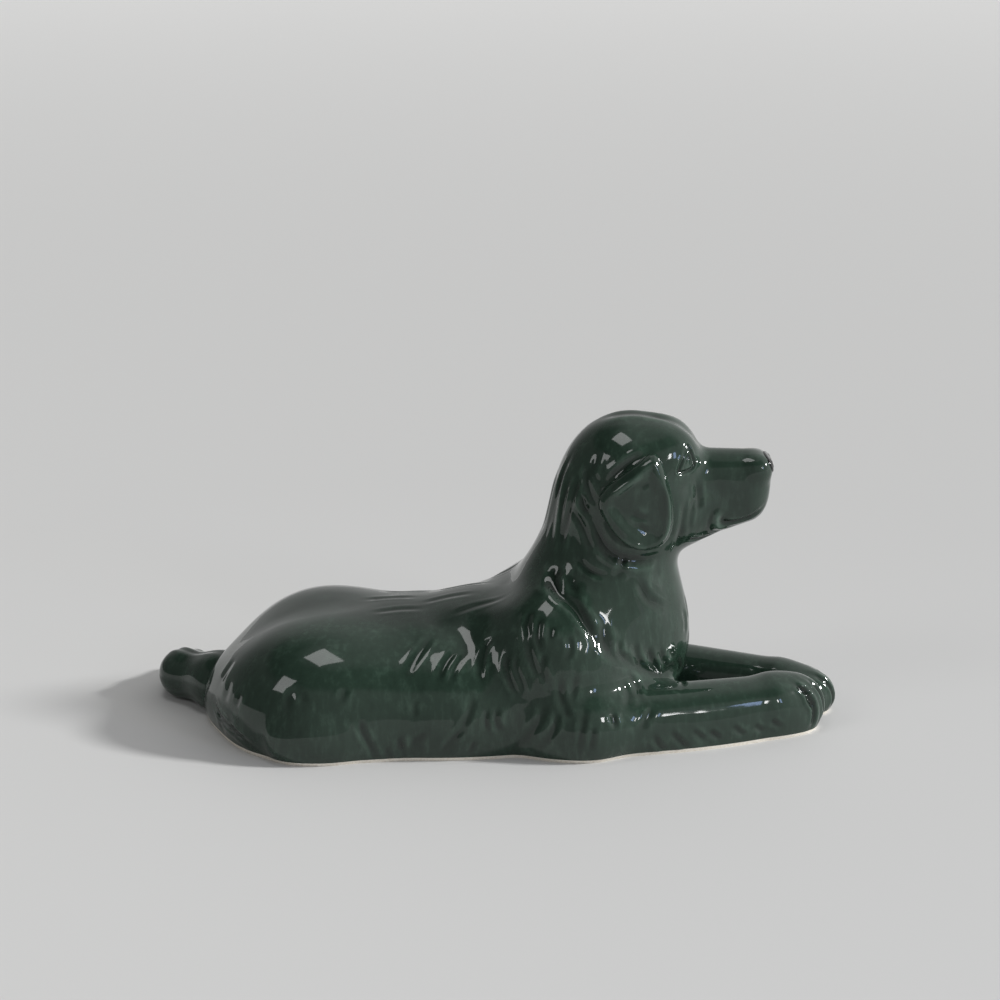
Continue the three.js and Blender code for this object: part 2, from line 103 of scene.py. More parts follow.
def within(points: np.ndarray, middle: Sequence[float], reach: float | np.ndarray) -> np.ndarray:
    """Tells which points lie in a box about its middle, with the same or its own reach each way."""
    near = [np.abs(points[:, i] - middle[i]) < span for i, span in enumerate(np.full(3, reach))]
    return near[0] & near[1] & near[2]


def lengths_of(vectors: np.ndarray) -> np.ndarray:
    """Returns the length of each row's vector."""
    return np.sqrt(np.einsum("ij,ij->i", vectors, vectors))


@dataclass(frozen=True)
class Mass:
    """A rounded mass of clay: an ellipsoid, turned in degrees."""

    at: Coordinates
    radii: Coordinates
    pitch: float = 0.0
    yaw: float = 0.0
    blend: float = 10.0

    def near(self, points: np.ndarray) -> np.ndarray:
        """Tells which points are close enough for the mass to matter."""
        return within(points, self.at, max(self.radii) + self.blend + MARGIN)

    def turn(self) -> Matrix:
        """Returns the rotation from the mass's own axes to the figure's."""
        yaw = Matrix.Rotation(math.radians(self.yaw), 4, "Z")
        return yaw @ Matrix.Rotation(math.radians(self.pitch), 4, "Y")

    def distance(self, points: np.ndarray) -> np.ndarray:
        """Measures how far points lie from the mass.

        Args:
            points: places in millimetres, one to a row.

        Returns:
            The signed distances, less than nothing inside.
        """
        local = (points - np.array(self.at)) @ np.array(self.turn().to_3x3())
        radii = np.array(self.radii)
        near = lengths_of(local / radii)
        steep = lengths_of(local / radii**2)
        return near * (near - 1.0) / np.maximum(steep, 1e-6)

    def add_to(self, shape: bmesh.types.BMesh) -> None:
        """Adds the mass to a shape as a ball stretched to its radii."""
        matrix = Matrix.Translation(self.at) @ self.turn() @ Matrix.Diagonal((*self.radii, 1.0))
        bmesh.ops.create_icosphere(shape, subdivisions=4, radius=1.0, matrix=matrix)


@dataclass(frozen=True)
class Limb:
    """A tapering rod of clay with round ends."""

    start: Coordinates
    end: Coordinates
    start_radius: float
    end_radius: float
    blend: float = 8.0

    def near(self, points: np.ndarray) -> np.ndarray:
        """Tells which points are close enough for the limb to matter.

        Args:
            points: places in millimetres, one to a row.

        Returns:
            True for each point that is close.
        """
        middle = np.add(self.start, self.end) / 2.0
        half = float(np.abs(np.subtract(self.end, self.start)).max()) / 2.0
        reach = half + max(self.start_radius, self.end_radius) + self.blend + MARGIN
        return within(points, middle, reach)

    def distance(self, points: np.ndarray) -> np.ndarray:
        """Measures how far points lie from the limb.

        Args:
            points: places in millimetres, one to a row.

        Returns:
            The signed distances, less than nothing inside.
        """
        along = np.subtract(self.end, self.start)
        length = float(np.linalg.norm(along))
        slope = (self.start_radius - self.end_radius) / length
        rise = math.sqrt(1.0 - slope**2)
        offset = points - np.array(self.start)
        run = offset @ (along / length)
        out = np.sqrt(np.maximum(np.einsum("ij,ij->i", offset, offset) - run**2, 0.0))
        at = run * rise - out * slope
        flank = out * rise + run * slope - self.start_radius
        low = np.hypot(out, run) - self.start_radius
        high = np.hypot(out, run - length) - self.end_radius
        return np.where(at < 0.0, low, np.where(at > length * rise, high, flank))

    def add_to(self, shape: bmesh.types.BMesh) -> None:
        """Adds the limb to a shape as two balls with a cone between them.

        Args:
            shape: the shape, in millimetres.
        """
        start, end = Vector(self.start), Vector(self.end)
        for centre, radius in ((start, self.start_radius), (end, self.end_radius)):
            bmesh.ops.create_icosphere(
                shape, subdivisions=3, radius=radius, matrix=Matrix.Translation(centre)
            )
        heading = (end - start).to_track_quat("Z", "Y").to_matrix().to_4x4()
        bmesh.ops.create_cone(
            shape,
            cap_ends=True,
            segments=32,
            radius1=self.start_radius,
            radius2=self.end_radius,
            depth=(end - start).length,
            matrix=Matrix.Translation((start + end) / 2.0) @ heading,
        )


def form_of(masses: Sequence[Mass | Limb]) -> Field:
    """Makes the form that several masses make together.

    Args:
        masses: the masses, each run softly into those before it.

    Returns:
        The form's signed distance as a function of places.
    """

    def distance(points: np.ndarray) -> np.ndarray:
        """Measures how far points lie from the form.

        Args:
            points: places in millimetres.

        Returns:
            The signed distances.
        """
        total = np.full(len(points), 1000.0)
        for part in masses:
            near = part.near(points)
            if near.any():
                total[near] = soft_min(total[near], part.distance(points[near]), part.blend)
        return total

    return distance


def slope_of(distance: Field, points: np.ndarray, here: np.ndarray | None = None) -> np.ndarray:
    """Finds the way out of a form at each point.

    Args:
        distance: the form.
        points: places in millimetres.
        here: the distances at the points, to feel the form on one side of each only.

    Returns:
        One unit vector for each point.
    """
    slope = np.empty_like(points)
    for axis in range(3):
        reach = np.zeros(3)
        reach[axis] = TOUCH
        behind = distance(points - reach) if here is None else here
        slope[:, axis] = distance(points + reach) - behind
    return slope / np.maximum(lengths_of(slope), 1e-9)[:, None]


def settle(distance: Field, points: np.ndarray, rounds: int = 3, reach: float = 2.0) -> np.ndarray:
    """Moves points along the slope of a form until they lie on its skin.

    Args:
        distance: the form.
        points: places near the skin, in millimetres.
        rounds: how many moves each point makes.
        reach: the longest single move.

    Returns:
        The places on the skin.
    """
    for _ in range(rounds):
        here = distance(points)
        points = points - slope_of(distance, points, here) * np.clip(here, -reach, reach)[:, None]
    return points


def smooth_line(points: np.ndarray, closed: bool = False, steps: int = 4) -> np.ndarray:
    """Runs a smooth line through points, without leaving any of them.

    Args:
        points: the places the line goes through.
        closed: whether the line comes back to its start.
        steps: how many steps lie between two of the points.

    Returns:
        The places along the line.
    """
    if closed:
        padded = np.vstack([points[-1], points, points[0], points[1]])
    else:
        padded = np.vstack([2 * points[0] - points[1], points, 2 * points[-1] - points[-2]])
    line = []
    for before, start, end, after in zip(padded, padded[1:], padded[2:], padded[3:]):
        for t in np.linspace(0.0, 1.0, steps, endpoint=False):
            bend = 2 * start + (end - before) * t + (2 * before - 5 * start + 4 * end - after) * t**2
            line.append(0.5 * (bend + (3 * start - before - 3 * end + after) * t**3))
    return np.array(line if closed else [*line, padded[-2]])


class Lay(Enum):
    """The way from which a stroke's points are pressed on to the figure."""

    RIGHT = (1, -1.0)
    LEFT = (1, 1.0)
    ABOVE = (2, 1.0)
    FRONT = (0, 1.0)
    BACK = (0, -1.0)


@dataclass(frozen=True)
class Stroke:
    """A groove that a carving loop left in the clay, or a ridge where the depth is negative."""

    points: tuple[Coordinates, ...]
    width: float
    depth: float
    lay: Lay

    def start(self) -> tuple[np.ndarray, np.ndarray]:
        """Returns places along the stroke well outside the figure, and the way in from each."""
        axis, side = self.lay.value
        line = smooth_line(np.array(self.points, dtype=float))
        way = np.zeros((len(line), 3))
        way[:, axis] = -side
        return np.insert(line, axis, side * BEYOND, axis=1), way


def strokes_of(*rows: tuple[float | Coordinates, ...], lay: Lay = Lay.RIGHT) -> list[Stroke]:
    """Makes strokes from rows, each of them a width, a depth and the places along the stroke."""
    return [Stroke(tuple(places), width, depth, lay) for width, depth, *places in rows]


class Relief:
    """The carved detail: how far the skin stands above or below the plain form."""

    rounds = 90  # moves in which a stroke comes in from outside
    stride = 0.9  # share of the distance that one move covers
    margin = 3.2  # a stroke is felt this many widths away

    def __init__(self, form: Field, strokes: Sequence[Stroke]) -> None:
        """Lays every stroke on the form.

        Args:
            form: the plain form.
            strokes: what is carved in it.
        """
        starts = [stroke.start() for stroke in strokes]
        places = np.vstack([start for start, _ in starts])
        ways = np.vstack([way for _, way in starts])
        for _ in range(self.rounds):
            places += ways * (np.clip(form(places), 0.0, MARGIN) * self.stride)[:, None]
        ends = np.cumsum([len(start) for start, _ in starts])[:-1]
        lines = np.split(places, ends)
        self.lines = [(line, stroke.width, stroke.depth) for line, stroke in zip(lines, strokes)]

    def measure(self, points: np.ndarray) -> tuple[np.ndarray, np.ndarray]:
        """Measures the relief.

        Args:
            points: places on the plain form's skin.

        Returns:
            The height at each point, less than nothing in a groove, and its slope there.
        """
        height = np.zeros(len(points))
        slope = np.zeros_like(points)
        for line, width, depth in self.lines:
            low, high = line.min(axis=0), line.max(axis=0)
            inside = within(points, (low + high) / 2.0, (high - low) / 2.0 + self.margin * width)
            if inside.any():
                rise, lean = self.trace(points[inside], line, width, depth)
                height[inside] += rise
                slope[inside] += lean
        eased = np.tanh(height / DEEPEST)
        return eased * DEEPEST, slope * (1.0 - eased**2)[:, None]

    @staticmethod
    def trace(
        points: np.ndarray, line: np.ndarray, width: float, depth: float
    ) -> tuple[np.ndarray, np.ndarray]:
        """Measures one stroke's own relief: a trough with a soft lip on both sides.

        Args:
            points: places near the stroke.
            line: the places along the stroke.
            width: half the width of the trough.
            depth: how deep it is at its middle.

        Returns:
            The height at each point, and its slope there.
        """
        along = np.diff(line, axis=0)
        offset = points[:, None, :] - line[:-1]
        lengths = np.maximum((along**2).sum(axis=1), 1e-9)
        part = np.clip(np.einsum("psk,sk->ps", offset, along) / lengths, 0.0, 1.0)
        gap = offset - part[:, :, None] * along
        nearest = np.einsum("psk,psk->ps", gap, gap).argmin(axis=1)
        rows = np.arange(len(points))
        gap = gap[rows, nearest]
        away = np.maximum(lengths_of(gap), 1e-6)
        share = (nearest + part[rows, nearest]) / len(along)
        ends = np.clip(np.minimum(share, 1.0 - share) / TAPER, 0.0, 1.0)
        fade = depth * (SCRATCH + (1.0 - SCRATCH) * ends * ends * (3.0 - 2.0 * ends))
        across = away / width
        trough = np.exp(-(across**2))
        from_lip = (across - LIP_PLACE) / LIP_SPREAD
        lip = LIP * np.exp(-(from_lip**2))
        steep = fade * (2.0 * across * trough - 2.0 * from_lip / LIP_SPREAD * lip) / width
        return fade * (lip - trough), gap * (steep / away)[:, None]


# Finishes


def linear(hex_colour: int) -> Colour:
    """Turns an sRGB hex colour to the linear values that shaders take.

    Args:
        hex_colour: the colour, such as 0x33473B.

    Returns:
        Red, green, blue and full opacity.
    """
    parts = [((hex_colour >> shift) & 255) / 255.0 for shift in (16, 8, 0)]
    values = [v / 12.92 if v <= 0.04045 else ((v + 0.055) / 1.055) ** 2.4 for v in parts]
    return (values[0], values[1], values[2], 1.0)


def grey(level: float) -> Colour:
    """Returns a grey of the given linear level."""
    return (level, level, level, 1.0)


def add_node(
    tree: bpy.types.NodeTree,
    kind: str,
    settings: dict[str, object] | None = None,
    values: dict[str | int, object] | None = None,
    links: dict[str | int, bpy.types.NodeSocket] | None = None,
) -> bpy.types.Node:
    """Adds one node to a material.

    Args:
        tree: the material's nodes.
        kind: the node's type.
        settings: what is set on the node itself.
        values: what is set on its sockets.
        links: what is plugged into its sockets.

    Returns:
        The new node.
    """
    node = tree.nodes.new(kind)
    for name, setting in (settings or {}).items():
        setattr(node, name, setting)
    for socket, value in (values or {}).items():
        node.inputs[socket].default_value = value
    for socket, source in (links or {}).items():
        tree.links.new(source, node.inputs[socket])
    return node


def cleared_nodes(owner: bpy.types.Material | bpy.types.World) -> bpy.types.NodeTree:
    """Clears the nodes that a new material or world starts with.

    Args:
        owner: the material or world.

    Returns:
        Its nodes, with none in them.
    """
    owner.use_nodes = True
    owner.node_tree.nodes.clear()
    return owner.node_tree


def colour_steps(node: bpy.types.Node, steps: Sequence[tuple[float, Colour]]) -> None:
    """Sets a colour ramp's stops.

    Args:
        node: the colour ramp.
        steps: the place of each stop, from 0 to 1, and its linear colour.
    """
    stops = node.color_ramp.elements
    while len(stops) < len(steps):
        stops.new(0.5)
    for stop, (place, colour) in zip(stops, steps):
        stop.position = place
        stop.color = colour


@dataclass(frozen=True)
class LeadGlaze:
    """Coloured earthenware glaze, dipped and fired to a deep gloss.

    It runs thin over every ridge, where it looks paler, and pools dark in the grooves.
    """

    name: str = "green_glaze"
    pooled: int = 0x121E17
    body: int = 0x27382E
    thin: int = 0x4A6053
    mottle_mm: float = 11.0  # cloudy patches where the dip was uneven
    run_mm: float = 2.6  # fine runs, where the glaze ran down as it dried
    ripple_mm: float = 16.0  # the glaze surface heaves a little as it flows
    heave_mm: float = 0.7
    run_lean: float = 0.45  # the runs lean back, and are drawn out lengthways
    run_stretch: float = 0.22
    patchiness: float = 0.36  # how far mottle and runs shift the tone
    paleness: float = -0.38  # shifts all of it, so that the body colour is the middle
    roughness: float = 0.06
    ior: float = 1.52  # as lead and borax glazes have

    @cached_property
    def material(self) -> bpy.types.Material:
        """The glaze's material, made when it is first asked for."""
        material = bpy.data.materials.new(self.name)
        tree = cleared_nodes(material)
        place = add_node(tree, "ShaderNodeTexCoord")
        relief = add_node(tree, "ShaderNodeAttribute", {"attribute_name": "relief"})
        mottle = add_node(
            tree, "ShaderNodeTexNoise",
            values={"Scale": 1.0 / (self.mottle_mm * MM), "Detail": 5.0, "Roughness": 0.6},
            links={"Vector": place.outputs["Object"]}
        )
        drawn = add_node(
            tree, "ShaderNodeMapping",
            values={"Rotation": (0.0, self.run_lean, 0.0), "Scale": (1.0, 1.0, self.run_stretch)},
            links={"Vector": place.outputs["Object"]}
        )
        runs = add_node(
            tree, "ShaderNodeTexNoise",
            values={"Scale": 1.0 / (self.run_mm * MM), "Detail": 3.0, "Roughness": 0.55},
            links={"Vector": drawn.outputs["Vector"]}
        )
        both = add_node(
            tree, "ShaderNodeMath", {"operation": "ADD"},
            links={0: mottle.outputs["Fac"], 1: runs.outputs["Fac"]}
        )
        cloud = add_node(
            tree, "ShaderNodeMath", {"operation": "MULTIPLY_ADD"},
            {1: self.patchiness, 2: self.paleness}, {0: both.outputs[0]}
        )
        depth = add_node(
            tree, "ShaderNodeMath", {"operation": "ADD"},
            links={0: relief.outputs["Fac"], 1: cloud.outputs[0]}
        )
        tone = add_node(tree, "ShaderNodeValToRGB", links={"Fac": depth.outputs[0]})
        shades = zip((0.1, 0.5, 0.85), map(linear, (self.pooled, self.body, self.thin)))
        colour_steps(tone, tuple(shades))
        ripple = add_node(
            tree, "ShaderNodeTexNoise",
            values={"Scale": 1.0 / (self.ripple_mm * MM), "Detail": 1.0, "Roughness": 0.4},
            links={"Vector": place.outputs["Object"]}
        )
        bump = add_node(
            tree, "ShaderNodeBump", values={"Strength": 0.4, "Distance": self.heave_mm * MM},
            links={"Height": ripple.outputs["Fac"]}
        )
        shader = add_node(
            tree, "ShaderNodeBsdfPrincipled", values={"Roughness": self.roughness, "IOR": self.ior},
            links={"Base Color": tone.outputs["Color"], "Normal": bump.outputs["Normal"]}
        )
        add_node(tree, "ShaderNodeOutputMaterial", links={"Surface": shader.outputs["BSDF"]})
        return material


@dataclass(frozen=True)
class FiredClay:
    """Bare white earthenware, wiped clean of glaze: dry, matt and finely gritty."""

    name: str = "bare_clay"
    pale: int = 0xF1ECE2
    dark: int = 0xDFD6C6
    grit_mm: float = 0.9
    roughness: float = 0.85

    @cached_property
    def material(self) -> bpy.types.Material:
        """The clay's material, made when it is first asked for."""
        material = bpy.data.materials.new(self.name)
        tree = cleared_nodes(material)
        place = add_node(tree, "ShaderNodeTexCoord")
        grit = add_node(
            tree, "ShaderNodeTexNoise",
            values={"Scale": 1.0 / (self.grit_mm * MM), "Detail": 6.0, "Roughness": 0.65},
            links={"Vector": place.outputs["Object"]}
        )
        tone = add_node(tree, "ShaderNodeValToRGB", links={"Fac": grit.outputs["Fac"]})
        colour_steps(tone, ((0.3, linear(self.dark)), (0.6, linear(self.pale))))
        bump = add_node(
            tree, "ShaderNodeBump", values={"Strength": 0.4, "Distance": 0.1 * MM},
            links={"Height": grit.outputs["Fac"]}
        )
        shader = add_node(
            tree, "ShaderNodeBsdfPrincipled", values={"Roughness": self.roughness},
            links={"Base Color": tone.outputs["Color"], "Normal": bump.outputs["Normal"]}
        )
        add_node(tree, "ShaderNodeOutputMaterial", links={"Surface": shader.outputs["BSDF"]})
        return material


GREEN_GLAZE = LeadGlaze()
BLACK_GLAZE = LeadGlaze(
    name="black_glaze", pooled=0x060707, body=0x0B0C0C, thin=0x191A1A, roughness=0.1
)
BARE_CLAY = FiredClay()


# Building a piece


def put_in_scene(name: str, data: bpy.types.ID) -> bpy.types.Object:
    """Makes an object and puts it in the scene.

    Args:
        name: the object's name.
        data: its mesh, lamp or camera.

    Returns:
        The object.
    """
    made = bpy.data.objects.new(name, data)
    bpy.context.scene.collection.objects.link(made)
    return made


def rough_skin(masses: Sequence[Mass | Limb], cell: float) -> bmesh.types.BMesh:
    """Joins masses into one closed skin with even cells.

    Args:
        masses: the masses, which overlap.
        cell: the size of a cell, in millimetres.

    Returns:
        The skin.
    """
    shape = bmesh.new()
    for part in masses:
        part.add_to(shape)
    return evened(shape, cell)


def evened(shape: bmesh.types.BMesh, cell: float) -> bmesh.types.BMesh:
    """Covers a shape afresh with even cells.

    Args:
        shape: closed shells, which may overlap. It is used up.
        cell: the size of a cell, in millimetres.

    Returns:
        The new skin.
    """
    mesh = bpy.data.meshes.new("rough")
    shape.to_mesh(mesh)
    shape.free()
    holder = put_in_scene("rough", mesh)
    remesh = holder.modifiers.new("cells", "REMESH")
    remesh.mode = "VOXEL"
    remesh.voxel_size = cell
    depsgraph = bpy.context.evaluated_depsgraph_get()
    skin = bmesh.new()
    skin.from_object(holder, depsgraph)
    bpy.data.objects.remove(holder)
    bpy.data.meshes.remove(mesh)
    return skin


def places_of(shape: bmesh.types.BMesh) -> np.ndarray:
    """Returns a shape's vertices, one to a row."""
    return np.array([vertex.co for vertex in shape.verts])


def move_vertices(shape: bmesh.types.BMesh, points: np.ndarray) -> None:
    """Moves a shape's vertices to new places."""
    for vertex, point in zip(shape.verts, points):
        vertex.co = point


def fit_skin(shape: bmesh.types.BMesh, form: Field) -> None:
    """Draws a skin on to a form, and evens its cells on the way.

    Args:
        shape: the skin, near the form.
        form: the form it is to follow.
    """
    for _ in range(2):
        move_vertices(shape, settle(form, places_of(shape), rounds=2))
        bmesh.ops.smooth_vert(
            shape, verts=shape.verts, factor=0.5, use_axis_x=True, use_axis_y=True, use_axis_z=True
        )
    move_vertices(shape, settle(form, places_of(shape)))


def slice_off(shape: bmesh.types.BMesh, point: Coordinates, normal: Coordinates) -> None:
    """Cuts off what lies on the side of a plane that its normal points to, and leaves it open.

    Args:
        shape: the shape.
        point: a place on the plane.
        normal: the way to what is cut off.
    """
    geometry = [*shape.verts, *shape.edges, *shape.faces]
    bmesh.ops.bisect_plane(
        shape, geom=geometry, dist=1e-4, plane_co=point, plane_no=normal, clear_outer=True
    )


def cut(shape: bmesh.types.BMesh, point: Coordinates, normal: Coordinates) -> None:
    """Cuts a closed shape at a plane, and closes the cut with a flat face.

    Args:
        shape: the shape.
        point: a place on the plane.
        normal: the way to what is cut off.
    """
    slice_off(shape, point, normal)
    rim = [edge for edge in shape.edges if edge.is_boundary]
    made = bmesh.ops.holes_fill(shape, edges=rim, sides=0)
    for face in made["faces"]:
        face.smooth = False


def finish_piece(
    name: str,
    shape: bmesh.types.BMesh,
    finish: LeadGlaze | FiredClay,
    node: str,
    skin: "Skin | None" = None,
) -> None:
    """Turns a shape in millimetres to a finished piece in metres.

    Args:
        name: the piece's name.
        shape: the shape. It is used up.
        finish: the piece's finish, whose material the piece is given.
        node: the CAD node that the piece stands for.
        skin: the sculpted form, where the shading follows it.
    """
    mesh = bpy.data.meshes.new(name)
    shape.to_mesh(mesh)
    shape.free()
    points = np.empty(len(mesh.vertices) * 3)
    mesh.vertices.foreach_get("co", points)
    points = points.reshape(-1, 3)
    if skin is not None:
        shade(mesh, points, skin)
    mesh.vertices.foreach_set("co", (points * MM).ravel())
    mesh.materials.append(finish.material)
    mesh.update()
    piece = put_in_scene(name, mesh)
    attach(piece, "root")
    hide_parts(node)
    LOG.info("%s: %d faces", name, len(mesh.polygons))


def shade(mesh: bpy.types.Mesh, points: np.ndarray, skin: "Skin") -> None:
    """Gives a mesh the sculpted form's own normals, and its relief as an attribute.

    Args:
        mesh: the piece's mesh.
        points: its vertices, in millimetres.
        skin: the sculpted form.
    """
    height, normals = skin.measure(points)
    attribute = mesh.attributes.new("relief", "FLOAT", "POINT")
    attribute.data.foreach_set("value", np.clip(0.5 + height / RELIEF_SPAN, 0.0, 1.0))
    corners = np.empty(len(mesh.loops), dtype=np.int32)
    mesh.loops.foreach_get("vertex_index", corners)
    split = normals[corners]
    for face in mesh.polygons:
        if not face.use_smooth:
            split[face.loop_start : face.loop_start + face.loop_total] = face.normal
    mesh.normals_split_custom_set(split.tolist())


class Skin:
    """A plain form with carved detail on it."""

    def __init__(self, form: Field, strokes: Sequence[Stroke]) -> None:
        """Keeps the plain form, and lays the carving on it."""
        self.form = form
        self.relief = Relief(form, strokes)

    def carve(self, shape: bmesh.types.BMesh) -> None:
        """Draws a rough skin on to the form and carves it.

        Args:
            shape: the skin. Its faces are smoothed.
        """
        fit_skin(shape, self.form)
        points = places_of(shape)
        height, _ = self.relief.measure(points)
        move_vertices(shape, points + slope_of(self.form, points) * height[:, None])
        for face in shape.faces:
            face.smooth = True

    def measure(self, points: np.ndarray) -> tuple[np.ndarray, np.ndarray]:
        """Measures the carved skin.

        Args:
            points: places on it.

        Returns:
            The height of the relief at each point, and the skin's normal there.
        """
        out = slope_of(self.form, points)
        height, slope = self.relief.measure(points - out * self.form(points)[:, None])
        normals = out - slope + out * np.einsum("ij,ij->i", slope, out)[:, None]
        return height, normals / lengths_of(normals)[:, None]


# The dog


@dataclass(frozen=True)
class Trunk:
    """The trunk: barrel, rump, haunches, shoulders and chest, with the folded left hind leg."""

    back_height: float = 57.0
    barrel_x: float = -30.0
    barrel_half_length: float = 100.0
    barrel_half_width: float = 57.0
    haunch_x: float = -80.0
    haunch_y: float = 23.0
    haunch_radius: float = 43.5
    haunch_height: float = 53.5
    shoulder_x: float = 26.0
    shoulder_y: float = 26.0
    shoulder_height: float = 70.0
    elbow_x: float = 32.0
    elbow_y: float = 45.0
    chest_x: float = 50.0
    chest_reach: float = 35.0
    withers_height: float = 61.5
    cell: float = 0.9

    def masses(self) -> list[Mass | Limb]:
        """Returns the masses that make the trunk."""
        rise = 43.0
        span = self.haunch_radius - 6.0
        x, y = self.haunch_x, self.haunch_y
        masses: list[Mass | Limb] = [
            Mass(
                (self.barrel_x, 0.0, self.back_height - rise),
                (self.barrel_half_length, self.barrel_half_width, rise),
                blend=1.0,
            ),
            Mass((x - 11, 4, 8), (self.haunch_radius - 2, 34, 27), blend=12.0),
            Mass((x + 2, -y, 14), (self.haunch_radius, span, self.haunch_height - 16), blend=14.0),
            Mass((x + 1.5, y - 1, 18), (self.haunch_radius - 5, span, self.haunch_height - 18), blend=14.0),
            Mass((x - 3, -y - 32, 9), (17, 7, 10), blend=8.0),
            Mass((self.shoulder_x - 21, 0, self.withers_height - 14), (30, 28, 14), blend=14.0),
            Mass((self.chest_x, 0, 42), (self.chest_reach, 33, 44), blend=14.0),
        ]
        for side in SIDES:
            shoulder = (self.shoulder_x, side * self.shoulder_y, self.shoulder_height - 37)
            masses.append(Mass(shoulder, (31, 27, 37), pitch=-12.0, blend=14.0))
            masses.append(Mass((self.elbow_x, side * self.elbow_y, 10), (22, 14, 17), blend=10.0))
        return masses

    def hind_leg(self) -> list[Mass | Limb]:
        """Returns the masses of the left hind leg, folded forward along the flank."""
        x, y = self.haunch_x, self.haunch_y
        return [
            Mass((x + 28, y + 22, 16), (32, 17, 27), pitch=20.0, yaw=6.0, blend=5.0),
            Limb((x + 6, y + 34, 8), (x + 48, y + 35, 7.5), 10.0, 8.5, blend=4.0),
            Mass((x + 60, y + 34, 7), (15, 8.5, 9), blend=5.0),
        ]

    def flank_strokes(self) -> list[Stroke]:
        """Returns the carved locks of the flank, as they lie on the dog's right."""
        return strokes_of(
            (1.8, 0.5, (-29.5, 50.5), (-35, 45), (-41.5, 37)),
            (1.5, 0.6, (-19, 46), (-24, 41), (-27.5, 34)),
            (1.4, 0.4, (-14.5, 45), (-19.5, 39.5), (-22, 33)),
            (1.4, 0.6, (-1.5, 51.5), (-6, 47.5), (-8.5, 39.5), (-8.5, 32.5)),
            (1.5, 0.7, (4, 48), (3, 41.5), (5, 35), (8.5, 28.5)),
            (1.3, 0.5, (7.5, 47.5), (7, 41), (9.5, 34.5), (10.5, 28.5)),
            (1.5, 0.7, (12, 54.5), (13, 48), (15.5, 41), (17, 37)),
            (1.5, 0.6, (19, 48.5), (18.5, 42), (21, 34)),
            (1.4, 0.5, (29, 56), (30.5, 50.5), (28.5, 44)),
            (1.6, 0.5, (25.5, 41.5), (26, 31.5), (28.5, 23.5), (31, 20.5)),
            (1.5, 0.4, (33, 42), (32, 33), (30.5, 26)),
            (1.9, 0.6, (19.5, 28), (17.5, 19.5), (10.5, 10), (5, 3.5)),
            (1.4, 0.6, (25, 24), (23.5, 16), (17.5, 6)),
            (1.6, 0.55, (36.5, 26), (35.5, 16.5), (34.5, 4)),
            (1.5, 0.7, (-4.5, 25), (-6, 19.5), (-5, 13.5)),
            (1.5, 0.7, (-1, 25), (-2, 19), (1, 12)),
            (1.5, 0.5, (-11.5, 29.5), (-13, 23), (-17.5, 14.5)),
            (1.5, 0.7, (-14.5, 17), (-21, 10.5), (-25.5, 3)),
            (1.3, 0.5, (-18.5, 10), (-23, 2.5)),
            (1.4, 0.6, (-32, 15), (-35, 10), (-34, 1.5)),
            (1.3, 0.5, (-10.5, 10.5), (-13.5, 3.5)),
            (1.4, 0.6, (-43.5, 12.5), (-41.5, 6), (-41, 1)),
            (1.4, 0.5, (49, 22.5), (50, 17)),
            (1.5, 0.7, (-61.5, 22.5), (-59.5, 15.5), (-55.5, 7.5), (-54, 1)),
            (1.4, 0.35, (-36.5, 28.5), (-37.5, 20.5)),
            (1.5, 0.7, (-36, 14.5), (-38, 7), (-37, 1)),
            (1.4, 0.5, (-49.5, 8), (-47.5, 1)),
            (1.6, 0.4, (-66.5, 34), (-69, 28)),
            (2.0, 0.4, (-88.5, 33.5), (-91.5, 28.5), (-91.5, 23)),
            (1.8, 0.25, (-86, 33), (-85, 27.5)),
            (1.6, 0.8, (-128, 16), (-124.5, 11.5), (-116.5, 8.5), (-105, 3.5)),
            (1.7, 0.5, (-113.5, 27), (-116, 20)),
            (1.4, 0.5, (-44, 13), (-43, 5)),
            (2.2, 0.6, (45, 60), (45, 55.5), (48, 50), (50.5, 47)),
            (1.6, 0.5, (67.5, 23), (63.5, 17), (61, 12.5)),
            (1.5, 0.6, (40, 18.5), (39, 6)),
            (1.4, 0.5, (48.5, 22.5), (50.5, 15)),
            (1.4, 0.6, (73.5, 12), (79, 5.5), (83, 1.5)),
            (1.4, 0.6, (66.5, 10.5), (70, 4.5), (73, 1.5)),
        )

    def chest_strokes(self) -> list[Stroke]:
        """Returns the wavy lock ends of the ruff, as they lie on the dog's right."""
        return strokes_of(
            (1.5, 0.6, (51.5, 51), (52.5, 45), (55.5, 41)),
            (1.5, 0.65, (58.5, 48.5), (60, 41.5), (63, 35.5)),
            (1.5, 0.7, (65, 45), (66.5, 38), (71, 31)),
            (1.5, 0.65, (70.5, 43), (72, 36.5), (75, 32)),
            (1.4, 0.5, (75.5, 41.5), (77, 35.5)),
            (2.0, 0.55, (51, 44), (61.5, 36), (70.5, 30), (75.5, 31.5), (80.5, 31.5)),
            (1.8, 0.45, (56, 34), (59.5, 29.5), (60, 25)),
            (1.8, 0.45, (53, 33), (56, 27.5), (55, 23)),
            (1.4, 0.7, (78, 37), (80.5, 30), (80.5, 26)),
        )

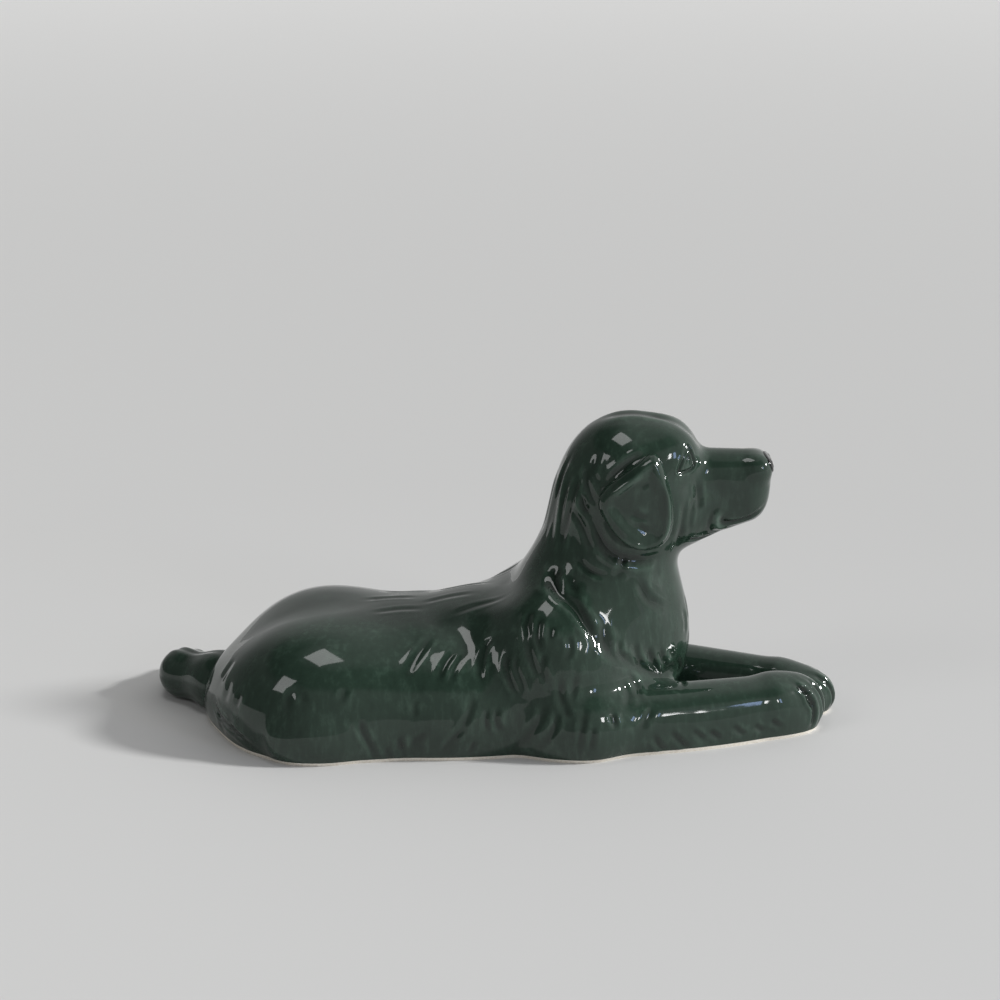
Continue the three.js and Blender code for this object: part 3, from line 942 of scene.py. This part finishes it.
    def unseen_strokes(self) -> list[Stroke]:
        """Returns the locks of the back, the breast and the rump, in the same hand."""
        strokes = []
        for y, x in ((-14, -58), (-6, -36), (3, -62), (11, -30), (18, -54), (-20, -22), (24, -14)):
            line = ((x, y), (x + 12, y * 0.9 + 1), (x + 26, y * 0.8 - 1))
            strokes.append(Stroke(line, 1.6, 0.35, Lay.ABOVE))
        for y, z in ((-12, 56), (-5, 60), (3, 58), (10, 55), (-8, 44), (0, 46), (7, 43), (-3, 34), (5, 32)):
            line = ((y, z), (y + 1.5, z - 6), (y - 0.5, z - 12))
            strokes.append(Stroke(line, 1.6, 0.45, Lay.FRONT))
        for y, z in ((-30, 30), (-20, 36), (24, 34), (34, 26), (-36, 16), (-26, 14), (30, 12)):
            line = ((y, z), (y * 1.08, z - 6), (y * 1.06, z - 12))
            strokes.append(Stroke(line, 2.4, 0.35, Lay.BACK))
        return strokes


@dataclass(frozen=True)
class Head:
    """The neck and the head, with the carved eyes and the line of the lips."""

    neck_base: Coordinates = (41.0, 0.0, 62.0)
    neck_top: Coordinates = (58.0, 0.0, 112.0)
    neck_base_radius: float = 32.0
    neck_top_radius: float = 26.0
    neck_seam_along: float = 6.0
    skull: Coordinates = (58.0, 0.0, 118.0)
    skull_length: float = 28.0
    skull_width: float = 25.0
    skull_rise: float = 24.0
    muzzle_length: float = 24.0
    muzzle_radius: float = 12.0
    muzzle_tip_radius: float = 11.0
    cell: float = 0.7

    def neck(self) -> Limb:
        """Returns the neck."""
        return Limb(self.neck_base, self.neck_top, self.neck_base_radius, self.neck_top_radius, blend=14.0)

    def seam(self) -> tuple[Coordinates, Coordinates]:
        """Returns a place on the neck's luting seam, and the way up the neck."""
        base = np.array(self.neck_base)
        line = np.subtract(self.neck_top, base)
        line /= np.linalg.norm(line)
        return tuple(base + line * self.neck_seam_along), tuple(line)

    def muzzle_span(self) -> tuple[float, float]:
        """Returns where the muzzle's limbs start and end."""
        start = self.skull[0] + self.skull_length - 1.5
        return start, start + self.muzzle_length

    def muzzle_tip(self) -> float:
        """Returns how far forward the muzzle reaches."""
        return self.muzzle_span()[1] + self.muzzle_tip_radius

    def masses(self) -> list[Mass | Limb]:
        """Returns the masses of the skull, the cheeks, the mane, the muzzle and the brows."""
        x, _, z = self.skull
        start, end = self.muzzle_span()
        tip = self.muzzle_tip_radius
        masses: list[Mass | Limb] = [
            Mass(self.skull, (self.skull_length, self.skull_width, self.skull_rise), blend=10.0),
            Mass((x + 12, 0, z - 18), (22, 21, 17), blend=12.0),
            Mass((x - 18, 0, z - 14), (16, 22, 23), pitch=12.0, blend=8.0),
            Limb((start, 0, z - 3.2), (end, 0, z - 2.8), self.muzzle_radius, tip),
            Limb((start, 0, z - 20), (end - 1, 0, z - 14), self.muzzle_radius + 1, tip),
        ]
        masses.append(Limb((end + 4.8, -4.5, z + 0.3), (end + 4.8, 4.5, z + 0.3), 6.7, 6.7, blend=3.0))
        masses += [Mass((x + 15.5, side * 9, z + 8.5), (12, 10, 11.5), blend=8.0) for side in SIDES]
        return masses

    def mane_strokes(self) -> list[Stroke]:
        """Returns the locks of the nape and the mane, as they lie on the dog's right."""
        return strokes_of(
            (2.2, 1.1, (20.5, 75.5), (26, 70), (31.5, 66), (40, 56.5), (47, 46.5), (59.5, 37)),
            (1.8, 0.5, (33, 63), (38, 57), (41, 50.5), (40, 43)),
            (2.8, 1.2, (26.5, 80.5), (23.5, 74.5), (26, 70)),
            (2.0, 0.65, (31.5, 77.5), (30.5, 72.5), (32, 66.5)),
            (2.0, 0.6, (36, 77), (33, 71), (35, 65), (39.5, 58)),
            (2.1, 0.55, (44.5, 58), (46, 51.5), (50, 45.5)),
            (1.3, 0.6, (55, 86.5), (52.5, 80.5)),
            (1.9, 0.4, (61, 74.5), (64, 66), (69.5, 61)),
            (1.6, 0.6, (13.5, 64), (12, 59), (13.5, 53)),
            (1.6, 0.6, (17.5, 62.5), (16.5, 57), (16.5, 48.5)),
            (1.6, 0.5, (22.5, 59.5), (21, 53.5)),
            (1.6, 0.7, (32, 127), (27, 116), (24, 100.5), (22, 86)),
            (1.6, 0.7, (35.5, 121), (31.5, 109), (28.5, 95.5), (25.5, 84)),
            (1.6, 0.8, (38.5, 126), (38, 116), (41.5, 107.5)),
            (1.6, 0.5, (43, 131), (40.5, 122), (42.5, 117)),
            (1.6, 1.0, (35.5, 112.5), (36.5, 107), (39, 104)),
            (1.6, 0.8, (31.5, 105), (36.5, 97), (39, 91), (41.5, 88)),
            (1.5, 0.7, (34, 85.5), (36.5, 81.5), (41.5, 78.5), (48, 76.5)),
            (2.2, 1.2, (39, 104), (43, 94), (48.5, 87.5), (56.5, 84), (65.5, 83), (72.5, 84)),
            (1.8, 0.4, (55, 83), (52.5, 79), (49.5, 75.5)),
            (2.0, 0.3, (71, 81), (69, 78), (69.5, 72)),
            (1.9, 0.35, (58, 78.5), (62.5, 70.5), (69, 63), (73.5, 59)),
            (1.7, 0.6, (81, 109), (80, 98.5), (77.5, 87)),
            (1.4, 0.5, (85.5, 111), (83.5, 102.5), (82.5, 93)),
        )

    def face_strokes(self) -> list[Stroke]:
        """Returns the lips, the lids and the crease of the jaw, as they lie on the dog's right."""
        lids = ((80.2, 128.6), (81.6, 132), (83.6, 128), (84.8, 123), (81.4, 121.2))
        return strokes_of(
            (1.0, 1.0, (97.5, 97), (100.5, 95.4), (106, 96), (112, 98.4), (116.5, 102)),
            (1.6, -1.0, (98.5, 102), (95.2, 98.6), (96, 93.6), (102, 91.8)),
            (0.9, 0.7, (82, 89), (87, 88), (93, 88.5), (100, 90)),
            (0.75, 0.8, *lids, (77.6, 121.6), (79.4, 126.6), (81.2, 131)),
            (0.6, 0.4, (80.2, 123.6), (82, 128), (83.2, 123.4)),
            (1.5, -0.4, (81.3, 124.2), (81.8, 126.6)),
            (1.7, 0.6, (85.5, 118), (87, 108), (86.5, 102)),
            (1.7, 1.0, (63.5, 130.5), (55, 126), (46.5, 118.5)),
        )

    def crown_strokes(self) -> list[Stroke]:
        """Returns the furrow down the middle of the skull, and the strokes of the nape."""
        x = self.skull[0]
        nape = [
            Stroke(((y, 118.0), (y * 1.1, 104.0), (y * 1.25, 88.0)), 1.6, 0.6, Lay.BACK)
            for y in (-15.0, -8.0, -1.0, 6.0, 13.0)
        ]
        return [Stroke(((x - 16, 0), (x + 4, 0), (x + 22, 0)), 3.0, 0.9, Lay.ABOVE), *nape]


@dataclass(frozen=True)
class Foreleg:
    """A foreleg stretched forward, with the feathering that hangs to the table."""

    side: float
    height: float = 26.0
    radius: float = 13.0
    paw_x: float = 128.0
    paw_y: float = 12.5
    paw_length: float = 18.0
    left_reach: float = 7.0
    left_drop: float = 5.0
    elbow: Coordinates = (40.0, 42.0, 12.0)  # on the left. The right one is its mirror image
    cell: float = 0.7

    def stance(self) -> tuple[float, float]:
        """Returns how much further forward and how much lower this paw lies."""
        return (self.left_reach, self.left_drop) if self.side > 0 else (0.0, 0.0)

    def line(self) -> tuple[np.ndarray, np.ndarray, np.ndarray, np.ndarray]:
        """Returns the elbow, the wrist, the heading between them, and the way out sideways."""
        reach, drop = self.stance()
        elbow = np.array(self.elbow) * (1.0, self.side, 1.0)
        wrist_height = self.height - self.radius - drop / 2
        wrist = np.array([self.paw_x + reach - 10, self.side * (self.paw_y + 5), wrist_height])
        heading = (wrist - elbow) * (1.0, 1.0, 0.0)
        heading /= np.linalg.norm(heading)
        outward = np.array([-heading[1], heading[0], 0.0]) * self.side
        return elbow, wrist, heading, outward

    def masses(self) -> list[Mass | Limb]:
        """Returns the masses of the leg, its feathering and its paw."""
        reach, drop = self.stance()
        elbow, wrist, heading, outward = self.line()
        yaw = math.degrees(math.atan2(heading[1], heading[0]))
        fringe = elbow + (wrist - elbow) * 0.62 + outward
        rise = 16 - drop / 2
        return [
            Limb(tuple(elbow), tuple(wrist), self.radius + 3, self.radius - drop / 4),
            Mass((fringe[0], fringe[1], 3.0), (50, self.radius, 15), yaw=yaw, blend=6.0),
            Mass(
                (self.paw_x + reach, self.side * self.paw_y, self.height - drop - rise),
                (self.paw_length, self.radius, rise),
                yaw=yaw,
                blend=8.0,
            ),
        ]

    def strokes(self) -> list[Stroke]:
        """Returns the feathering and the grooves that part the toes."""
        lay = Lay.LEFT if self.side > 0 else Lay.RIGHT
        reach, drop = self.stance()
        strokes = strokes_of(
            (1.3, 0.6, (84, 10.5), (90, 5)),
            (1.3, 0.6, (91.5, 9.5), (97.5, 4)),
            (1.3, 0.6, (102, 10), (108.5, 4.5)),
            (1.3, 0.6, (112, 9), (117, 5)),
            (1.3, 0.6, (119.5, 10.5), (125, 6)),
            lay=lay,
        )
        knuckles = (
            ((132, 23), (135, 20.5), (139.5, 19.5)),
            ((136.5, 18.5), (138, 14.5), (141.5, 13.5)),
        )
        for line in knuckles:
            strokes.append(Stroke(tuple((x + reach, z - drop) for x, z in line), 1.1, 0.7, lay))
        for share in (-0.5, 0.05, 0.58):
            y = self.side * (self.paw_y + share * self.radius)
            top = self.height - drop
            toe = ((y, top - 1.5), (y * 1.02, top * 0.7), (y * 1.02, top * 0.35), (y * 1.02, 2.0))
            strokes.append(Stroke(toe, 1.3, 1.2, Lay.FRONT))
        return strokes


@dataclass(frozen=True)
class Tail:
    """The tail, which leaves the rump, rests on the table and curls to the dog's left."""

    radius: float = 12.0
    tip_radius: float = 6.5
    cell: float = 0.8

    def masses(self) -> list[Mass | Limb]:
        """Returns the limbs that make the tail."""
        r, tip = self.radius, self.tip_radius
        return [
            Limb((-105, 4, 12.5), (-127, 14, 12.5), r + 2, r + 1, blend=5.0),
            Limb((-127, 14, 12.5), (-146, 30, 11), r + 1, r - 1.5, blend=6.0),
            Limb((-146, 30, 11), (-149, 43, 7.5), r - 1.5, r - 4, blend=5.0),
            Limb((-149, 43, 7.5), (-144, 60, 5.5), r - 4, tip, blend=5.0),
        ]

    def strokes(self) -> list[Stroke]:
        """Returns the strokes along the tail."""
        return strokes_of(
            (1.6, 0.4, (-122, 9), (-136, 20), (-150, 34), (-151, 44)),
            (1.4, 0.3, (-126, 17), (-138, 27), (-147, 40)),
            lay=Lay.ABOVE,
        )


@dataclass(frozen=True)
class Ear:
    """A hanging ear: a leaf of clay on the side of the head, with a rolled edge."""

    side: float
    corner: Coordinates = (42.5, 88.5)
    length: float = 42.0
    width: float = 33.0
    thickness: float = 5.6
    rim: float = 3.0
    inner_y: float = 14.0  # the leaf is first drawn out between these places, through the head's side
    outer_y: float = 34.0
    cell: float = 0.55
    outline: tuple[Coordinates, ...] = (
        (0.74, 1.0), (0.9, 0.78), (1.0, 0.48), (0.99, 0.2), (0.84, 0.02),
        (0.5, 0.01), (0.2, 0.21), (0.01, 0.44), (0.08, 0.64), (0.42, 0.86),
    )

    def edge_line(self) -> np.ndarray:
        """Returns the leaf's outline in side view."""
        shares = np.array(self.outline)
        points = np.array(self.corner) + shares * (self.width, self.length)
        return smooth_line(points, closed=True)

    @staticmethod
    def edge_distance(points: np.ndarray, line: np.ndarray) -> np.ndarray:
        """Measures how far points lie outside the leaf's outline, in side view.

        Args:
            points: places in millimetres.
            line: the outline.

        Returns:
            The signed distances, less than nothing inside the outline.
        """
        flat = points[:, (0, 2)]
        nearest = np.full(len(flat), np.inf)
        inside = np.zeros(len(flat), dtype=bool)
        for start, end in zip(line, np.roll(line, -1, axis=0)):
            along = end - start
            t = np.clip((flat - start) @ along / max(float(along @ along), 1e-9), 0.0, 1.0)
            gap = flat - start - t[:, None] * along
            nearest = np.minimum(nearest, np.hypot(gap[:, 0], gap[:, 1]))
            crosses = (start[1] > flat[:, 1]) != (end[1] > flat[:, 1])
            rise = along[1] if abs(along[1]) > 1e-9 else 1e-9
            inside ^= crosses & (flat[:, 0] < along[0] * (flat[:, 1] - start[1]) / rise + start[0])
        return np.where(inside, -nearest, nearest)

    def form(self, head: Field) -> Field:
        """Makes the ear's form on the head.

        Args:
            head: the head that it lies on.

        Returns:
            The ear's signed distance.
        """
        line = self.edge_line()

        def distance(points: np.ndarray) -> np.ndarray:
            """Measures how far points lie from the ear.

            Args:
                points: places in millimetres.

            Returns:
                The signed distances.
            """
            edge = self.edge_distance(points, line)
            rim = np.exp(-(((edge + self.rim) / (1.2 * self.rim)) ** 2))
            above = head(points)
            out = above - self.thickness * (0.68 + 0.32 * rim)
            leaf = soft_max(out, edge, self.thickness / 2)
            return soft_max(leaf, -above - 1.0, 0.8)

        return distance

    def strokes(self) -> list[Stroke]:
        """Returns the dents in the leaf and the ridge of its fold."""
        return strokes_of(
            (1.6, 0.55, (56.5, 106.5), (60.5, 104), (65, 103)),
            (1.4, 0.5, (59, 101.5), (62.5, 98.5), (65, 97)),
            (1.3, 0.4, (60.5, 117.5), (64, 119.5)),
            (1.4, -0.6, (46.5, 112), (55, 119), (63.5, 125)),
            (1.1, -0.6, (69.5, 122), (72.6, 113), (73.4, 104), (72, 96), (68, 91)),
            (1.3, -0.4, (68, 91), (60, 90.5), (51, 96), (45, 104)),
            lay=Lay.LEFT if self.side > 0 else Lay.RIGHT,
        )

    def rough(self) -> bmesh.types.BMesh:
        """Returns the leaf's outline drawn out through the side of the head."""
        shape = bmesh.new()
        ring = [shape.verts.new((x, self.side * self.inner_y, z)) for x, z in self.edge_line()]
        leaf = shape.faces.new(ring)
        made = bmesh.ops.extrude_face_region(shape, geom=[leaf])
        moved = [item for item in made["geom"] if isinstance(item, bmesh.types.BMVert)]
        bmesh.ops.translate(shape, verts=moved, vec=(0.0, self.side * (self.outer_y - self.inner_y), 0.0))
        bmesh.ops.recalc_face_normals(shape, faces=shape.faces)
        return evened(shape, self.cell)


@dataclass(frozen=True)
class Nose:
    """The nose: a patch of black glaze that lies over the end of the muzzle."""

    length: float = 5.4
    width: float = 8.4
    rise: float = 5.6
    proud: float = 0.5
    cell: float = 0.35

    def patch(self, head: Head) -> Mass:
        """Returns the mass that bounds the patch."""
        at = (head.muzzle_tip() + 0.8, 0.0, head.skull[2] + 3.4)
        return Mass(at, (self.length, self.width, self.rise))

    def form(self, head: Head, muzzle: Field) -> Field:
        """Makes the nose's form on the muzzle.

        Args:
            head: the head's sizes.
            muzzle: the form that the patch lies on.

        Returns:
            The nose's signed distance.
        """
        patch = self.patch(head)

        def distance(points: np.ndarray) -> np.ndarray:
            """Returns the signed distance from the nose to each point."""
            return soft_max(patch.distance(points), muzzle(points) - self.proud, 1.2)

        return distance

    def strokes(self, head: Head) -> list[Stroke]:
        """Makes the nostrils and the line between them.

        Args:
            head: the head's sizes.

        Returns:
            The strokes.
        """
        z = head.skull[2] + 3
        nostrils = [
            (0.7, 0.7, (side * 3.0, z + 1.6), (side * 4.2, z + 0.2), (side * 3.2, z - 1.2))
            for side in SIDES
        ]
        return strokes_of(*nostrils, (0.5, 0.4, (0, z), (0, z - 4.0)), lay=Lay.FRONT)


@dataclass(frozen=True)
class ClayFoot:
    """The bare clay slab that the glazed castings stand on, with the vent through it."""

    vent_radius: float = 6.0
    vent_x: float = -20.0
    cell: float = 1.6

    def build(self, masses: Sequence[Mass | Limb]) -> None:
        """Builds the slab.

        Args:
            masses: the masses that stand on the slab.
        """
        shape = rough_skin(masses, self.cell)
        fit_skin(shape, form_of(masses))
        for height, way in ((FOOT_EDGE, 1.0), (0.0, -1.0)):
            slice_off(shape, (0.0, 0.0, height), (0.0, 0.0, way))
        rings = []
        for height in (0.0, FOOT_EDGE):
            outline = [e for e in shape.edges if e.is_boundary and abs(e.verts[0].co.z - height) < 1e-3]
            middle = Matrix.Translation((self.vent_x, 0.0, height))
            ring = bmesh.ops.create_circle(shape, segments=48, radius=self.vent_radius, matrix=middle)
            circle = list({edge for vertex in ring["verts"] for edge in vertex.link_edges})
            bmesh.ops.triangle_fill(shape, use_beauty=True, edges=[*outline, *circle])
            rings += circle
        bmesh.ops.bridge_loops(shape, edges=rings)
        bmesh.ops.recalc_face_normals(shape, faces=shape.faces)
        finish_piece("clay_foot", shape, BARE_CLAY, "base_slab")


class Figurine:
    """The whole dog: its sculpted form and the castings that are cut from it."""

    def __init__(self) -> None:
        """Models the form and lays the carving on it."""
        self.trunk = Trunk()
        self.head = Head()
        self.legs = (Foreleg(-1.0), Foreleg(1.0))
        self.tail = Tail()
        standing = [*self.trunk.masses(), *self.trunk.hind_leg()]
        legs = [*self.legs[0].masses(), *self.legs[1].masses()]
        head = [self.head.neck(), *self.head.masses()]
        self.standing = [*standing, *legs]
        self.head_form = form_of(head)
        self.skin = Skin(form_of([*standing, *head, *legs]), self.strokes())

    def strokes(self) -> list[Stroke]:
        """Returns every stroke that is carved in the figure."""
        near = [
            *self.trunk.flank_strokes(),
            *self.trunk.chest_strokes(),
            *self.head.mane_strokes(),
            *self.head.face_strokes(),
        ]
        paired = [*near, *(replace(stroke, lay=Lay.LEFT) for stroke in near)]
        own = [*self.trunk.unseen_strokes(), *self.head.crown_strokes()]
        return [*paired, *own, *self.legs[0].strokes(), *self.legs[1].strokes()]

    def build_trunk(self) -> None:
        """Builds the glazed trunk, from the neck's seam to the clay foot."""
        masses = [*self.trunk.masses(), *self.trunk.hind_leg(), self.head.neck()]
        legs = [leg.masses()[0] for leg in self.legs]
        shape = rough_skin([*masses, *legs], self.trunk.cell)
        self.skin.carve(shape)
        cut(shape, *self.head.seam())
        cut(shape, (SEAM_X, 0.0, 0.0), (1.0, 0.0, 0.0))
        cut(shape, (0.0, 0.0, FOOT_EDGE), (0.0, 0.0, -1.0))
        finish_piece("glazed_trunk", shape, GREEN_GLAZE, "torso_casting", self.skin)

    def build_head(self) -> None:
        """Builds the glazed neck and head."""
        shape = rough_skin([self.head.neck(), *self.head.masses()], self.head.cell)
        self.skin.carve(shape)
        point, up = self.head.seam()
        cut(shape, point, tuple(-part for part in up))
        finish_piece("glazed_head", shape, GREEN_GLAZE, "head_casting", self.skin)

    def build_leg(self, leg: Foreleg) -> None:
        """Builds one glazed foreleg, ahead of its seam.

        Args:
            leg: the leg.
        """
        name = "left_foreleg" if leg.side > 0 else "right_foreleg"
        shape = rough_skin(leg.masses(), leg.cell)
        self.skin.carve(shape)
        cut(shape, (SEAM_X, 0.0, 0.0), (-1.0, 0.0, 0.0))
        cut(shape, (0.0, 0.0, 0.0), (0.0, -leg.side, 0.0))
        cut(shape, (0.0, 0.0, FOOT_EDGE), (0.0, 0.0, -1.0))
        finish_piece(name, shape, GREEN_GLAZE, f"{name}_casting", self.skin)

    def build_tail(self) -> None:
        """Builds the glazed tail."""
        masses = self.tail.masses()
        skin = Skin(form_of(masses), self.tail.strokes())
        shape = rough_skin(masses, self.tail.cell)
        skin.carve(shape)
        cut(shape, (0.0, 0.0, 0.0), (0.0, 0.0, -1.0))
        finish_piece("glazed_tail", shape, GREEN_GLAZE, "tail_casting", skin)

    def build_ear(self, ear: Ear) -> None:
        """Builds one glazed ear.

        Args:
            ear: the ear.
        """
        node = "left_ear" if ear.side > 0 else "right_ear"
        form = ear.form(self.head_form)
        skin = Skin(form, ear.strokes())
        shape = ear.rough()
        move_vertices(shape, settle(form, places_of(shape), rounds=6, reach=3.0))
        skin.carve(shape)
        finish_piece(f"{node}_leaf", shape, GREEN_GLAZE, node, skin)

    def build_nose(self) -> None:
        """Builds the black nose."""
        nose = Nose()
        skin = Skin(nose.form(self.head, self.head_form), nose.strokes(self.head))
        shape = rough_skin([nose.patch(self.head)], nose.cell)
        skin.carve(shape)
        finish_piece("black_nose", shape, BLACK_GLAZE, "nose", skin)

    def build(self) -> None:
        """Builds every piece of the figurine."""
        self.build_trunk()
        self.build_head()
        for leg in self.legs:
            self.build_leg(leg)
        self.build_tail()
        for side in SIDES:
            self.build_ear(Ear(side))
        self.build_nose()
        ClayFoot().build(self.standing)


# The studio


@dataclass(frozen=True)
class SoftBox:
    """A soft lamp: a glowing rectangle that looks at the figurine."""

    name: str
    at: Coordinates
    size: tuple[float, float]
    power: float
    tint: int = 0xFFFFFF
    aim: Coordinates = (0.0, 0.0, 0.06)

    def build(self) -> None:
        """Builds the lamp, turned to the figurine."""
        data = bpy.data.lights.new(self.name, "AREA")
        data.shape = "RECTANGLE"
        data.size, data.size_y = self.size
        data.energy = self.power
        data.color = linear(self.tint)[:3]
        lamp = put_in_scene(self.name, data)
        lamp.location = self.at
        heading = Vector(self.aim) - Vector(self.at)
        lamp.rotation_euler = heading.to_track_quat("-Z", "Y").to_euler()


@dataclass(frozen=True)
class Studio:
    """A pale floor, soft lamps and the camera."""

    floor_radius: float = 7.0
    floor_colour: int = 0xCECECD
    far_floor_painted_light_colour: int = 0xF6F6F5
    paler_from: float = 0.4  # painted light: the floor is painted paler between these distances, in metres, where the lamps' light falls off
    palest_at: float = 4.0
    camera_distance: float = 1.259
    camera_pitch: float = 16.0
    camera_angle: float = 20.0
    aim_height: float = 0.1028  # the camera looks at the middle of the figurine, this high
    wall: float = 0.3  # linear levels of what the glaze reflects
    far_wall: float = 0.5
    ceiling: float = 0.08
    skylight: float = 0.34
    left_strength: float = 0.4  # the room is brighter to the right than to the left
    right_strength: float = 1.7
    key_strength: float = 2.9
    key_spread: float = 7.0  # degrees across, which gives the shadow its soft edge
    key_heading: Coordinates = (-1.0, 0.08, -0.56)

    def build_floor(self) -> None:
        """Builds the round pale floor, painted paler further out as painted light where the lamps' light
        falls off.
        """
        shape = bmesh.new()
        bmesh.ops.create_circle(shape, cap_ends=True, segments=96, radius=self.floor_radius)
        mesh = bpy.data.meshes.new("floor")
        shape.to_mesh(mesh)
        shape.free()
        material = bpy.data.materials.new("pale_paper")
        tree = cleared_nodes(material)
        place = add_node(tree, "ShaderNodeTexCoord")
        away = add_node(
            tree, "ShaderNodeVectorMath", {"operation": "LENGTH"}, links={0: place.outputs["Object"]}
        )
        # painted light: the far floor is painted paler, to stand in for the light that falls off away from
        # the lamps
        share = add_node(
            tree, "ShaderNodeMapRange", values={"From Min": self.paler_from, "From Max": self.palest_at},
            links={"Value": away.outputs["Value"]}
        )
        paper = add_node(
            tree, "ShaderNodeMix", {"data_type": "RGBA"}, links={"Factor": share.outputs["Result"]}
        )
        paper.inputs["A"].default_value = linear(self.floor_colour)
        paper.inputs["B"].default_value = linear(self.far_floor_painted_light_colour)
        shader = add_node(
            tree, "ShaderNodeBsdfPrincipled", values={"Roughness": 0.7, "Specular IOR Level": 0.2},
            links={"Base Color": paper.outputs["Result"]}
        )
        add_node(tree, "ShaderNodeOutputMaterial", links={"Surface": shader.outputs["BSDF"]})
        mesh.materials.append(material)
        put_in_scene("floor", mesh)

    def build_sky(self) -> None:
        """Lights the room: pale walls, palest behind and to the right, under a dark ceiling."""
        world = bpy.data.worlds.new("room")
        tree = cleared_nodes(world)
        direction = add_node(tree, "ShaderNodeTexCoord")
        axes = add_node(tree, "ShaderNodeSeparateXYZ", links={"Vector": direction.outputs["Generated"]})
        bands = add_node(tree, "ShaderNodeValToRGB", links={"Fac": axes.outputs["Z"]})
        levels = (self.wall, self.wall, self.ceiling, self.ceiling, self.skylight)
        colour_steps(bands, tuple(zip((0.0, 0.6, 0.7, 0.9, 0.97), map(grey, levels))))
        beyond = add_node(
            tree, "ShaderNodeMath", {"operation": "MULTIPLY_ADD"}, {1: 0.7},
            {0: axes.outputs["X"], 2: axes.outputs["Y"]}
        )
        behind = add_node(
            tree, "ShaderNodeMapRange", {"interpolation_type": "SMOOTHSTEP"},
            {"From Min": 0.0, "From Max": 0.6}, {"Value": beyond.outputs[0]}
        )
        room = add_node(
            tree, "ShaderNodeMix", {"data_type": "RGBA"}, {"B": grey(self.far_wall)},
            {"Factor": behind.outputs["Result"], "A": bands.outputs["Color"]}
        )
        side = add_node(
            tree, "ShaderNodeMapRange",
            values={"From Min": -1.0, "To Min": self.left_strength, "To Max": self.right_strength},
            links={"Value": axes.outputs["X"]}
        )
        light = add_node(
            tree, "ShaderNodeBackground",
            links={"Color": room.outputs["Result"], "Strength": side.outputs["Result"]}
        )
        add_node(tree, "ShaderNodeOutputWorld", links={"Surface": light.outputs["Background"]})
        bpy.context.scene.world = world

    def build_lamps(self) -> None:
        """Hangs the soft lamps."""
        lamps = (
            SoftBox("overhead", (-0.26, -0.16, 1.45), (0.56, 0.42), 2.3),
            SoftBox("window", (-1.03, -0.72, 0.98), (0.42, 0.5), 1.9),
            SoftBox("small_lamp", (0.99, -1.08, 0.68), (0.09, 0.24), 1.3),
            SoftBox("blue_lamp", (1.17, -0.98, 0.64), (0.12, 0.34), 0.9, tint=0xB4CCFF),
        )
        for lamp in lamps:
            lamp.build()

    def build_key(self) -> None:
        """Sets up the key light, which throws the soft shadow to the left."""
        data = bpy.data.lights.new("key", "SUN")
        data.energy = self.key_strength
        data.angle = math.radians(self.key_spread)
        key = put_in_scene("key", data)
        key.rotation_euler = Vector(self.key_heading).to_track_quat("-Z", "Y").to_euler()

    def build_camera(self) -> None:
        """Sets up the camera at the photograph's viewing angle."""
        data = bpy.data.cameras.new("camera")
        data.sensor_fit = "HORIZONTAL"
        data.angle = math.radians(self.camera_angle)
        data.clip_end = 30.0
        camera = put_in_scene("camera", data)
        pitch = math.radians(self.camera_pitch)
        back = self.camera_distance * math.cos(pitch)
        camera.location = (0.0, -back, self.aim_height + self.camera_distance * math.sin(pitch))
        camera.rotation_euler = (math.pi / 2 - pitch, 0.0, 0.0)
        bpy.context.scene.camera = camera

    def build(self) -> None:
        """Builds the whole studio."""
        self.build_floor()
        self.build_sky()
        self.build_lamps()
        self.build_key()
        self.build_camera()
        bpy.context.scene.view_settings.view_transform = "Standard"


def main() -> None:
    """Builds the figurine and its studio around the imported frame."""
    logging.basicConfig(level=logging.INFO, format="%(name)s: %(message)s")
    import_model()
    Studio().build()
    Figurine().build()


if __name__ == "__main__":
    main()
